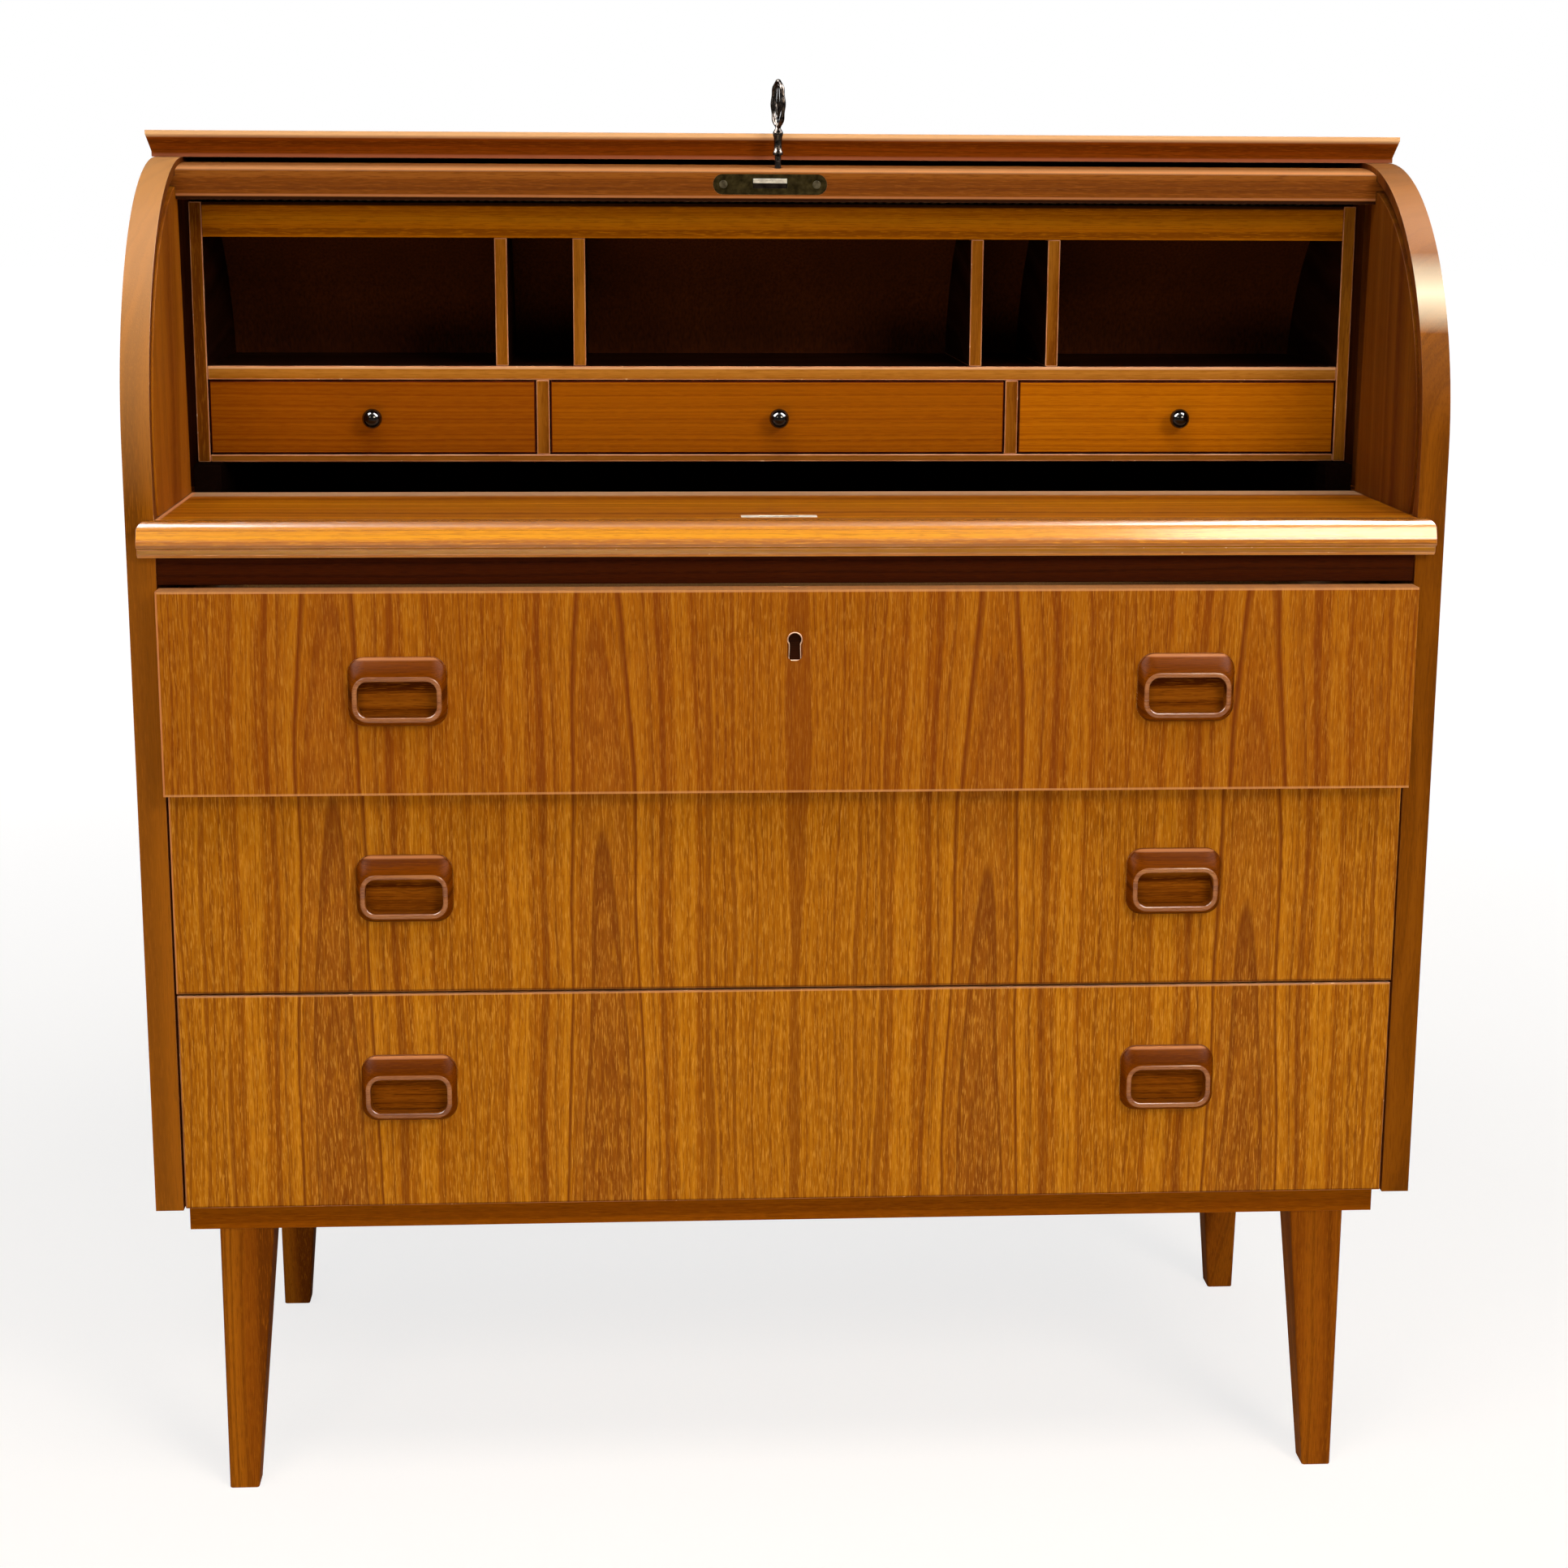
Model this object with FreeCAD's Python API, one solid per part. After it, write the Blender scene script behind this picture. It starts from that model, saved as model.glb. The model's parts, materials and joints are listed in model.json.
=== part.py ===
import FreeCAD, Part
import math
import os

# Tambour secretary desk in teak, standing on four tapered legs.
# Millimetres. X runs across the desk, +Y to its back, +Z up; the floor is Z = 0.
# While the pieces are drawn, Y = 0 is the front plane of the side panels. They are
# written with the origin under the middle of the whole desk as it rests.

os.makedirs("parts", exist_ok=True)

# Overall sizes
desk_width = 970.0
desk_depth = 446.0
side_thickness = 21.0
panel_foot = 245.0
writing_height = 774.0

# The tambour turns about one axis across the desk; the rim of the side panels is round it
axis_rise = 50.0
tambour_rear_room = 30.0
rim_lip = 8.0
recess_depth = 8.5
slat_thickness = 7.0
slat_clearance = 0.5
slat_count = 22
slat_pitch_angle = 4.3
slat_gap_angle = 0.17
slat_chamfer = 1.2
slat_end_clearance = 0.6
first_slat_angle = 0.6
canvas_thickness = 0.6
canvas_end_inset = 9.0
canvas_tuck_angle = 2.6
canvas_slot_clearance = 0.1
cheek_low_setback = 26.0
cheek_high_setback = 38.0
rear_guide_offset = 16.0

# Lead rail of the tambour, with its closing face towards the front while open
rail_inner_drop = 25.0
rail_outer_drop = 4.0
rail_depth = 46.5
rail_side_clearance = 0.6
closing_gap = 0.5

# Top board with a flared edge
top_thickness = 20.0
top_base_strip = 4.0
top_upper_strip = 3.0
top_front_setback = 4.0
top_front_flare = 7.0
top_end_flare = 6.0
top_foot_overhang = 2.6

# Boards of the carcass
bottom_thickness = 16.0
bottom_front = 22.0
back_thickness = 6.0
back_inset = 8.0
back_groove = 6.0
back_groove_clearance = 0.3

# Frame under the carcass and its legs
plinth_height = 26.0
plinth_front = 28.0
plinth_rail_width = 44.0
plinth_side_width = 22.0
plinth_rear_inset = 20.0
leg_top = 42.0
leg_foot = 23.0
leg_inset = 2.0
leg_edge_chamfer = 1.5
leg_dowel_radius = 6.0
leg_dowel_length = 44.0
leg_dowel_in_rail = 20.0

# Case dowels
dowel_radius = 4.0
dowel_length = 30.0
dowel_in_panel = 14.0
dowel_fit = 0.05
top_dowel_offset = 6.25
top_dowel_in_board = 12.0
dowel_rear_inset = 28.0
top_dowel_shares = (0.0, 0.43, 0.86)
bottom_dowel_shares = (0.1, 0.46, 0.82)

# Writing slide
slide_thickness = 18.0
slide_side_clearance = 0.5
slide_rest_gap = 0.4
lip_reach = 14.0
lip_overlap = 11.5
lip_panel_gap = 0.5
lip_height = 26.5
lip_nose_height = 18.5
lip_nose_radius = 9.0
lip_facet_width = 9.0
lip_facet_lean = 20.0
lip_step = 3.5
lip_lower_chamfer = 2.0
lip_end_radius = 7.0
arm_width = 22.0
arm_thickness = 10.0
arm_front = 10.0
arm_rear_room = 33.0
bearer_width = 26.0
bearer_height = 11.6
keeper_width = 21.0
keeper_front_gap = 4.0
runner_rear_room = 6.0

# Rail above the top drawer
front_rail_face = 2.0
front_rail_depth = 38.0
front_rail_height = 29.4
front_rail_foot_gap = 1.7

# Pigeonhole unit
unit_side_gap = 2.0
unit_front_offset = 2.0
unit_foot_rise = 21.0
unit_top_drop = 34.0
unit_board = 10.0
unit_back_room = 6.5
unit_back_thickness = 4.0
unit_back_offset = 32.0
unit_rail_height = 27.0
unit_rail_depth = 16.0
unit_top_thickness = 8.0
unit_base_thickness = 6.0
unit_drawer_opening = 59.0
unit_shelf_thickness = 11.0
middle_pigeonhole = 306.6
narrow_pigeonhole = 51.5
divider_setback = 1.5
middle_drawer_opening = 365.6
drawer_divider = 10.4

# Small drawers in the unit
small_gap = 0.9
small_rest_gap = 0.4
small_front_thickness = 12.0
small_wall = 8.0
small_base = 4.0
small_box_height = 46.0
small_rear_room = 19.5
small_base_rise = 3.0
knob_radius = 8.0
knob_reach = 13.0
knob_stem_radius = 3.5
knob_collar_radius = 5.5
knob_collar_height = 1.6

# Big drawers, from the top one down
drawer_height_shares = (151.5, 154.5, 169.0)
drawer_gap = 1.5
drawer_front_thickness = 20.0
drawer_wall = 12.0
drawer_base = 6.0
drawer_base_rise = 8.0
drawer_wall_inset = 12.0
drawer_rear_room = 18.0
top_drawer_ajar = 20.0
runner_width = 18.0
runner_height = 12.0
runner_front = 24.0
runner_gap = 0.4

# Drawer pulls: a block with a sloped top round a finger recess
pull_place = 290.0
pull_drop = 48.0
pull_width = 72.0
pull_height = 51.0
pull_reach = 12.0
pull_crown_reach = 2.0
pull_slope_height = 12.0
pull_base_set = 1.5
recess_width = 59.0
recess_height = 28.0
recess_foot = 7.0
recess_in_front = 12.0
recess_corner = 8.0
pull_corner = 12.0

# Lock of the top drawer
keyhole_drop = 42.0
keyhole_width = 11.4
keyhole_height = 21.6
keyhole_plate_thickness = 1.5
keyhole_slot_radius = 4.9
keyhole_slot_width = 8.0
keyhole_slot_length = 13.7
lock_fit = 0.3
case_width = 56.0
case_depth = 10.0
case_height = 58.0
case_top_gap = 1.0
drawer_bolt_width = 18.0
drawer_bolt_depth = 5.0
drawer_bolt_length = 22.0
drawer_bolt_travel = 7.0
drawer_bolt_back = 3.0
drawer_bolt_mortise_gap = 1.0

# Lock of the tambour
lock_offset = -10.0
plate_width = 88.0
plate_height = 15.6
plate_thickness = 1.5
plate_centre_drop = 18.8
rail_case_width = 60.0
rail_case_height = 12.6
rail_case_depth = 30.0
rail_case_centre_drop = 18.9
rail_bolt_width = 26.0
rail_bolt_height = 3.6
rail_bolt_length = 15.0
rail_bolt_travel = 7.0
rail_bolt_drop = 16.2
plate_slot_drop = 3.5
plate_screw_place = 36.0
screw_head_radius = 3.0
screw_head_height = 1.2
screw_radius = 1.5
screw_length = 14.0
screw_fit = 0.05
strike_width = 56.0
strike_depth = 14.0
strike_thickness = 1.2
strike_pocket_spare = 2.5
strike_slot_clearance = 1.5

# Key standing in the tambour's lock
key_offset = -3.0
key_setback = 19.5
key_shank_radius = 2.5
key_hole_clearance = 0.5
key_rail_hole_radius = 4.0
key_reach = 67.0
key_bow_half_height = 19.0
key_bow_half_width = 12.0
key_bow_rim = 3.6
key_bow_thickness = 3.6
key_bow_turn = 22.0
key_collar_radius = 4.0
key_collar_height = 3.0
key_collar_lifts = (8.0, 24.0)
key_bit_length = 7.0
key_bit_height = 4.0
key_bit_thickness = 2.2
key_bit_clearance = 0.6
key_foot_drop = 23.6

# Cutters run past the faces they open by this much
overrun = 2.0

# A fully round end keeps this share of half its width as corner radius, so that a flat stays
round_end_share = 0.98

# Places worked out from the sizes above
half_width = desk_width / 2
inner = half_width - side_thickness
recess_floor = inner + recess_depth
rim_radius = (desk_depth - tambour_rear_room) / 2
axis_y = rim_radius
axis_z = writing_height + axis_rise
side_top = axis_z + rim_radius
groove_radius = rim_radius - rim_lip
slat_outer_radius = groove_radius - slat_clearance
slat_inner_radius = slat_outer_radius - slat_thickness
guide_radius = slat_inner_radius - slat_clearance
cheek_rear_low = axis_y - cheek_low_setback
cheek_rear_high = axis_y - cheek_high_setback
rear_guide_front = axis_y + rear_guide_offset
slat_half_length = recess_floor - slat_end_clearance
closing_face = axis_y - axis_rise + closing_gap
rail_rear = closing_face + rail_depth
rail_inner_radius = rim_radius - rail_inner_drop
rail_outer_radius = rim_radius - rail_outer_drop
tail_angle = first_slat_angle - slat_count * slat_pitch_angle + slat_gap_angle
plinth_foot = panel_foot - plinth_height
plinth_rear = desk_depth - plinth_rear_inset
bottom_top = panel_foot + bottom_thickness
back_face = desk_depth - back_inset
arm_rear = back_face - arm_rear_room
runner_rear = back_face - runner_rear_room
drawer_rear = back_face - drawer_rear_room
slide_depth = cheek_rear_low
slide_half_width = inner - slide_side_clearance
slide_foot = writing_height - slide_thickness
lip_front = -lip_panel_gap - lip_reach
unit_front = axis_y + unit_front_offset
unit_foot = writing_height + unit_foot_rise
unit_top = side_top - unit_top_drop
unit_back_radius = guide_radius - unit_back_room - unit_back_thickness
unit_back_start = axis_y + unit_back_offset
small_rear = axis_y + unit_back_radius - small_rear_room
unit_half_width = inner - unit_side_gap
unit_inner = unit_half_width - unit_board
unit_base_top = unit_foot + unit_base_thickness
shelf_foot = unit_base_top + unit_drawer_opening
shelf_top = shelf_foot + unit_shelf_thickness
unit_ceiling = unit_top - unit_top_thickness
unit_rail_foot = unit_top - unit_rail_height
unit_rail_rear = unit_front + unit_rail_depth
arm_outer = slide_half_width
keeper_foot = slide_foot + arm_thickness + slide_rest_gap
rest_top = slide_foot - slide_rest_gap
drawer_half_width = inner - drawer_gap
drawers_top = rest_top - front_rail_height - front_rail_foot_gap
drawer_count = len(drawer_height_shares)
drawers_height = drawers_top - panel_foot - drawer_gap * drawer_count
lock_case_y = closing_face + plate_thickness
plate_centre_radius = rim_radius - plate_centre_drop
rail_case_centre_radius = rim_radius - rail_case_centre_drop
rail_bolt_radius = rim_radius - rail_bolt_drop
strike_pocket_depth = rail_bolt_travel + strike_pocket_spare
key_foot_radius = rim_radius - key_foot_drop
key_y = closing_face + key_setback
key_outside = axis_z + math.sqrt(rail_outer_radius**2 - (axis_y - key_y) ** 2)
key_top = key_outside + key_reach
front_extreme = -top_drawer_ajar - pull_reach
rear_extreme = desk_depth
to_origin = FreeCAD.Vector(0, -(front_extreme + rear_extreme) / 2, 0)


def point(x, y, z):
    """A point from its three coordinates."""
    return FreeCAD.Vector(x, y, z)


def box(x0, x1, y0, y1, z0, z1):
    """A straight board between two opposite corners."""
    return Part.makeBox(x1 - x0, y1 - y0, z1 - z0, point(x0, y0, z0))


def rod(centre, radius, length, direction):
    """A round bar from a point along a direction."""
    return Part.makeCylinder(radius, length, centre, direction)


def drum(radius, x0, x1):
    """A full cylinder about the tambour's axis, between two places across the desk."""
    return rod(point(x0, axis_y, axis_z), radius, x1 - x0, point(1, 0, 0))


def ring(inside, outside, x0, x1):
    """A tube about the tambour's axis."""
    return drum(outside, x0, x1).cut(drum(inside, x0 - overrun, x1 + overrun))


def mirrored(shape):
    """The same piece on the other side of the desk's middle."""
    return shape.mirror(point(0, 0, 0), point(1, 0, 0))


def both_sides(shape):
    """A piece and its mirror image, as separate solids."""
    return [shape, mirrored(shape)]


def on_arc(radius, angle):
    """A point at a radius from the tambour's axis; the angle leans forward from straight up."""
    turn = math.radians(angle)
    return point(0, axis_y - radius * math.sin(turn), axis_z + radius * math.cos(turn))


def side_prism(corners, x0, x1):
    """A profile in the side view, given as (y, z) corners, made solid across the desk."""
    points = [point(x0, y, z) for y, z in corners]
    face = Part.Face(Part.makePolygon(points + points[:1]))
    return face.extrude(point(x1 - x0, 0, 0))


def front_slab(x0, x1, z0, z1, corner, y0, y1):
    """A slab seen as a rectangle with round corners from the front."""
    slab = box(x0, x1, y0, y1, z0, z1)
    upright = [e for e in slab.Edges if abs(e.tangentAt(e.FirstParameter).y) > 0.5]
    return slab.makeFillet(corner, upright)


def write(name, solids):
    """Write one node; a node with several pieces keeps them as separate solids."""
    moved = [solid.translated(to_origin) for solid in solids]
    shape = moved[0] if len(moved) == 1 else Part.makeCompound(moved)
    shape.exportStep(f"parts/{name}.step")


def top_dowel(y):
    """A dowel standing in a side panel and reaching up into the top board."""
    foot = side_top + top_dowel_in_board - dowel_length
    return rod(point(half_width - top_dowel_offset, y, foot), dowel_radius, dowel_length, point(0, 0, 1))


def cross_dowel(y, z):
    """A dowel lying across the joint between a side panel and a board."""
    return rod(point(inner + dowel_in_panel - dowel_length, y, z), dowel_radius, dowel_length, point(1, 0, 0))


def case_dowels():
    """Dowels of the top board, the bottom board and the front rail, for the right side."""
    rail_y = front_rail_face + front_rail_depth / 2
    rail_z = (drawer_place(0)[1] + front_rail_foot_gap + rest_top) / 2
    rear = back_face - dowel_rear_inset
    top_run = rear - axis_y
    bottom_run = rear - bottom_front
    dowels = [top_dowel(rear - share * top_run) for share in top_dowel_shares]
    height = panel_foot + bottom_thickness / 2
    dowels += [cross_dowel(rear - share * bottom_run, height) for share in bottom_dowel_shares]
    dowels.append(cross_dowel(rail_y, rail_z))
    return dowels


def dowel_holes():
    """The dowels of both sides, larger by their fit, as cutters."""
    tolerance = dowel_fit / 10
    holes = [dowel.makeOffsetShape(dowel_fit, tolerance, fill=False) for dowel in case_dowels()]
    return Part.makeCompound(holes + [mirrored(hole) for hole in holes])


def drawer_place(index):
    """The foot and top of a big drawer's front; the stack is counted from the top one."""
    heights = [share * drawers_height / sum(drawer_height_shares) for share in drawer_height_shares]
    below = heights[index + 1 :]
    foot = panel_foot + drawer_gap + sum(below) + drawer_gap * len(below)
    return foot, foot + heights[index]


def side_panel():
    """The right side: an upright panel with a round front rim and a sunk field inside the groove."""
    corner = rim_radius * (1 - math.cos(math.radians(45)))
    edges = [
        Part.makeLine(point(inner, 0, panel_foot), point(inner, 0, axis_z)),
        Part.Arc(
            point(inner, 0, axis_z),
            point(inner, corner, axis_z + rim_radius - corner),
            point(inner, rim_radius, side_top),
        ).toShape(),
        Part.makeLine(point(inner, rim_radius, side_top), point(inner, desk_depth, side_top)),
        Part.makeLine(point(inner, desk_depth, side_top), point(inner, desk_depth, panel_foot)),
        Part.makeLine(point(inner, desk_depth, panel_foot), point(inner, 0, panel_foot)),
    ]
    panel = Part.Face(Part.Wire(edges)).extrude(point(side_thickness, 0, 0))
    field = drum(groove_radius, inner - overrun, recess_floor)
    field = field.common(
        box(inner - overrun, recess_floor, 0, desk_depth, writing_height, side_top)
    )
    groove_x = inner + back_groove + back_groove_clearance
    back_groove_cut = box(
        inner - overrun, groove_x, back_face, desk_depth + overrun, panel_foot - overrun, side_top + overrun
    )
    return panel.cut(field).cut(back_groove_cut).cut(dowel_holes())


def side_cheek():
    """The board let into the side's sunk field; its round edge is the inner wall of the groove."""
    disc = drum(guide_radius, inner, recess_floor)
    field = side_prism(
        [
            (0, writing_height),
            (cheek_rear_low, writing_height),
            (cheek_rear_high, side_top),
            (0, side_top),
        ],
        inner,
        recess_floor,
    )
    return disc.common(field)


def rear_guide():
    """The hidden board behind, between the unit and the side, that guides the tambour round the back."""
    disc = drum(guide_radius, unit_half_width, recess_floor)
    return disc.common(
        box(unit_half_width, recess_floor, rear_guide_front, desk_depth, writing_height, side_top)
    )


def rectangle(half_x, y0, y1, z):
    """A level rectangle, for lofts."""
    corners = [point(-half_x, y0, z), point(half_x, y0, z), point(half_x, y1, z), point(-half_x, y1, z)]
    return Part.makePolygon(corners + corners[:1])


def top_board():
    """The top: a thin board whose edge flares outwards to the front and the ends."""
    low = side_top + top_base_strip
    high = side_top + top_thickness - top_upper_strip
    front_low = rim_radius - top_front_setback
    front_high = front_low - top_front_flare
    half_low = half_width + top_foot_overhang
    half_high = half_width + top_end_flare
    base = box(-half_low, half_low, front_low, desk_depth, side_top, low)
    flare = Part.makeLoft(
        [rectangle(half_low, front_low, desk_depth, low), rectangle(half_high, front_high, desk_depth, high)],
        True,
    )
    cap = box(-half_high, half_high, front_high, desk_depth, high, side_top + top_thickness)
    return base.fuse(flare).fuse(cap).removeSplitter().cut(dowel_holes())


def bottom_board():
    """The carcass floor, between the side panels."""
    return box(-inner, inner, bottom_front, back_face, panel_foot, bottom_top).cut(dowel_holes())


def back_panel():
    """Thin plywood back, let into the side panels."""
    half = inner + back_groove
    return box(-half, half, back_face, back_face + back_thickness, panel_foot, side_top)


def front_rail():
    """The rail above the top drawer; the slide rests on it and the drawer's bolt locks into it."""
    foot = drawer_place(0)[1] + front_rail_foot_gap
    rail = box(-inner, inner, front_rail_face, front_rail_face + front_rail_depth, foot, rest_top)
    mortise = drawer_bolt(drawer_bolt_mortise_gap).translated(point(0, 0, drawer_bolt_travel))
    return rail.cut(mortise).cut(dowel_holes())


def slide_bearer():
    """The strip on the side panel that carries an arm of the writing slide."""
    front = front_rail_face + front_rail_depth
    return box(inner - bearer_width, inner, front, runner_rear, rest_top - bearer_height, rest_top)


def slide_keeper():
    """The strip over an arm that keeps the slide level; the pigeonhole unit stands on it."""
    front = slide_depth + keeper_front_gap
    rear = guide_reach(unit_foot)
    return box(unit_half_width - keeper_width, unit_half_width, front, rear, keeper_foot, unit_foot)


def guide_reach(height):
    """How far back the inner wall of the groove lies at a height."""
    return axis_y + math.sqrt(guide_radius**2 - (height - axis_z) ** 2) - rim_lip


def drawer_runners():
    """The strips on the side panels that carry the big drawers, for the right side."""
    strips = []
    for index in range(drawer_count):
        top = drawer_wall_foot(index) - runner_gap
        strips.append(box(inner - runner_width, inner, runner_front, runner_rear, top - runner_height, top))
    return strips


def plinth_frame():
    """Two rails and two side rails under the carcass."""
    front = box(-inner, inner, plinth_front, plinth_front + plinth_rail_width, plinth_foot, panel_foot)
    rear = box(-inner, inner, plinth_rear - plinth_rail_width, plinth_rear, plinth_foot, panel_foot)
    side = box(
        inner - plinth_side_width,
        inner,
        plinth_front + plinth_rail_width,
        plinth_rear - plinth_rail_width,
        plinth_foot,
        panel_foot,
    )
    holes = Part.makeCompound([leg_dowel(*place, dowel_fit) for place in leg_places()])
    return [front.cut(holes), rear.cut(holes)] + both_sides(side)


def leg_outer_x():
    """The outer face of a leg, in line with the inner face of the side rails."""
    return inner - plinth_side_width


def leg_places():
    """The side (-1 left, 1 right) and end (-1 front, 1 rear) of each leg."""
    return [(-1, -1), (1, -1), (-1, 1), (1, 1)]


def leg_outer_y(end):
    """The outer face of a leg towards the front or the rear."""
    return plinth_front + leg_inset if end < 0 else plinth_rear - leg_inset


def leg_section(side, end, size, height):
    """One square section of a leg; the two outer faces stay upright, the inner ones taper."""
    x = leg_outer_x()
    y = leg_outer_y(end)
    corners = [(x, y), (x - size, y), (x - size, y - end * size), (x, y - end * size)]
    points = [point(side * a, b, height) for a, b in corners]
    return Part.makePolygon(points + points[:1])


def leg(side, end):
    """A square leg that tapers to the floor on its two inner faces."""
    body = Part.makeLoft(
        [leg_section(side, end, leg_foot, 0), leg_section(side, end, leg_top, plinth_foot)], True
    )
    upright = [e for e in body.Edges if e.Length > plinth_foot / 2]
    return body.makeChamfer(leg_edge_chamfer, upright).cut(leg_dowel(side, end, dowel_fit))


def leg_dowel(side, end, spare=0):
    """The dowel that joins a leg to the frame."""
    x = side * (leg_outer_x() - leg_top / 2)
    y = leg_outer_y(end) - end * leg_top / 2
    foot = plinth_foot + leg_dowel_in_rail - leg_dowel_length
    centre = point(x, y, foot - spare)
    return rod(centre, leg_dowel_radius + spare, leg_dowel_length + 2 * spare, point(0, 0, 1))


def inside_unit(x0, x1, y0, z0, z1):
    """A board of the pigeonhole unit, cut round at its rear to follow the curved back."""
    return box(x0, x1, y0, desk_depth, z0, z1).common(drum(unit_back_radius, x0, x1))


def unit_side():
    """The right end of the pigeonhole unit."""
    return inside_unit(unit_inner, unit_half_width, unit_front, unit_foot, unit_top)


def unit_top_rail():
    """The rail across the top of the unit."""
    return box(-unit_inner, unit_inner, unit_front, unit_rail_rear, unit_rail_foot, unit_top)


def unit_top_panel():
    """The unit's thin ceiling behind its rail."""
    return inside_unit(-unit_inner, unit_inner, unit_rail_rear, unit_ceiling, unit_top)


def unit_shelf():
    """The shelf between the pigeonholes and the small drawers."""
    return inside_unit(-unit_inner, unit_inner, unit_front, shelf_foot, shelf_top)


def unit_base():
    """The unit's thin floor."""
    return inside_unit(-unit_inner, unit_inner, unit_front, unit_foot, unit_base_top)


def unit_back():
    """Bent plywood back, round the same axis as the tambour that passes behind it."""
    shell = ring(
        unit_back_radius, unit_back_radius + unit_back_thickness, -unit_half_width, unit_half_width
    )
    return shell.common(
        box(-unit_half_width, unit_half_width, unit_back_start, desk_depth, unit_foot, unit_top)
    )


def pigeonhole_divider(x0):
    """An upright between two pigeonholes, notched under the top rail."""
    front = unit_front + divider_setback
    upright = inside_unit(x0, x0 + unit_board, front, shelf_top, unit_ceiling)
    notch = box(
        x0 - overrun,
        x0 + unit_board + overrun,
        unit_front - overrun,
        unit_rail_rear,
        unit_rail_foot,
        unit_top,
    )
    return upright.cut(notch)


def pigeonhole_dividers():
    """The two dividers on the right of the middle."""
    first = middle_pigeonhole / 2
    second = first + unit_board + narrow_pigeonhole
    return [pigeonhole_divider(first), pigeonhole_divider(second)]


def unit_drawer_divider():
    """The upright between two small drawers."""
    x0 = middle_drawer_opening / 2
    return inside_unit(x0, x0 + drawer_divider, unit_front, unit_base_top, shelf_foot)


def small_drawer_span(which):
    """The left and right limits of a small drawer's front; which is -1, 0 or 1."""
    edge = middle_drawer_opening / 2
    if which == 0:
        return -edge + small_gap, edge - small_gap
    near = edge + drawer_divider + small_gap
    far = unit_inner - small_gap
    return (near, far) if which > 0 else (-far, -near)


def small_drawer_front(which):
    """The front of a small drawer."""
    x0, x1 = small_drawer_span(which)
    rear = unit_front + small_front_thickness
    return box(x0, x1, unit_front, rear, unit_base_top + small_gap, shelf_foot - small_gap)


def small_drawer_box(which):
    """Two sides, the back and the thin floor of a small drawer."""
    x0, x1 = small_drawer_span(which)
    front = unit_front + small_front_thickness
    foot = unit_base_top + small_rest_gap
    top = foot + small_box_height
    floor = foot + small_base_rise
    return [
        box(x0, x0 + small_wall, front, small_rear, foot, top),
        box(x1 - small_wall, x1, front, small_rear, foot, top),
        box(x0 + small_wall, x1 - small_wall, small_rear - small_wall, small_rear, foot, top),
        box(x0 + small_wall, x1 - small_wall, front, small_rear - small_wall, floor, floor + small_base),
    ]


def knob(which):
    """A round knob on a short stem."""
    x0, x1 = small_drawer_span(which)
    middle = point((x0 + x1) / 2, unit_front, (unit_base_top + shelf_foot) / 2)
    outward = point(0, -1, 0)
    ball = Part.makeSphere(knob_radius, middle + outward * knob_reach)
    stem = rod(middle, knob_stem_radius, knob_reach, outward)
    collar = rod(middle, knob_collar_radius, knob_collar_height, outward)
    return ball.fuse(stem).fuse(collar).removeSplitter()


def writing_slide():
    """The pull-out writing board, with the arms and the strike let in."""
    board = box(
        -slide_half_width, slide_half_width, -lip_panel_gap, slide_depth, slide_foot, writing_height
    )
    for arm in both_sides(slide_arm()):
        board = board.cut(arm)
    return board.cut(strike_outline()).cut(strike_pocket())


def slide_arm():
    """The long arm let into the underside of the writing board; it runs in the carcass."""
    return box(arm_outer - arm_width, arm_outer, arm_front, arm_rear, slide_foot, slide_foot + arm_thickness)


def slide_lip():
    """The front edge of the slide: a small round, a flat that leans back, and a lower step."""
    rear = -lip_panel_gap
    nose_foot = writing_height - lip_nose_height
    foot = writing_height - lip_height
    half = inner + lip_overlap
    lean = math.radians(lip_facet_lean)
    half_turn = (math.pi / 2 - lean) / 2
    flat_y = lip_front + lip_facet_width * math.sin(lean)
    flat_z = writing_height - lip_nose_radius * (1 - math.sin(lean))
    round_y = flat_y + lip_nose_radius * math.cos(lean)
    round_z = writing_height - lip_nose_radius
    nose = [
        Part.makeLine(point(-half, rear, writing_height), point(-half, round_y, writing_height)),
        Part.Arc(
            point(-half, round_y, writing_height),
            point(
                -half,
                round_y - lip_nose_radius * math.sin(half_turn),
                round_z + lip_nose_radius * math.cos(half_turn),
            ),
            point(-half, flat_y, flat_z),
        ).toShape(),
    ]
    lower = [
        (flat_y, flat_z),
        (lip_front, flat_z - lip_facet_width * math.cos(lean)),
        (lip_front, nose_foot),
        (lip_front + lip_step, nose_foot - lip_lower_chamfer),
        (lip_front + lip_step, foot + lip_lower_chamfer),
        (lip_front + lip_step + lip_lower_chamfer, foot),
        (rear, foot),
        (rear, writing_height),
    ]
    outline = [point(-half, y, z) for y, z in lower]
    wire = Part.Wire(nose + [Part.makePolygon(outline)])
    bar = Part.Face(wire).extrude(point(2 * half, 0, 0))
    ends = front_slab(
        -half, half, foot - lip_end_radius - overrun, writing_height, lip_end_radius, lip_front - overrun, overrun
    )
    return bar.common(ends)


def strike_centre():
    """Where the tambour's bolt comes down on the writing slide, as (x, y)."""
    return lock_offset, axis_y - rail_bolt_radius


def strike_outline():
    """The space of the strike plate in the slide."""
    x, y = strike_centre()
    return box(
        x - strike_width / 2,
        x + strike_width / 2,
        y - strike_depth / 2,
        y + strike_depth / 2,
        writing_height - strike_thickness,
        writing_height,
    )


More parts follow.
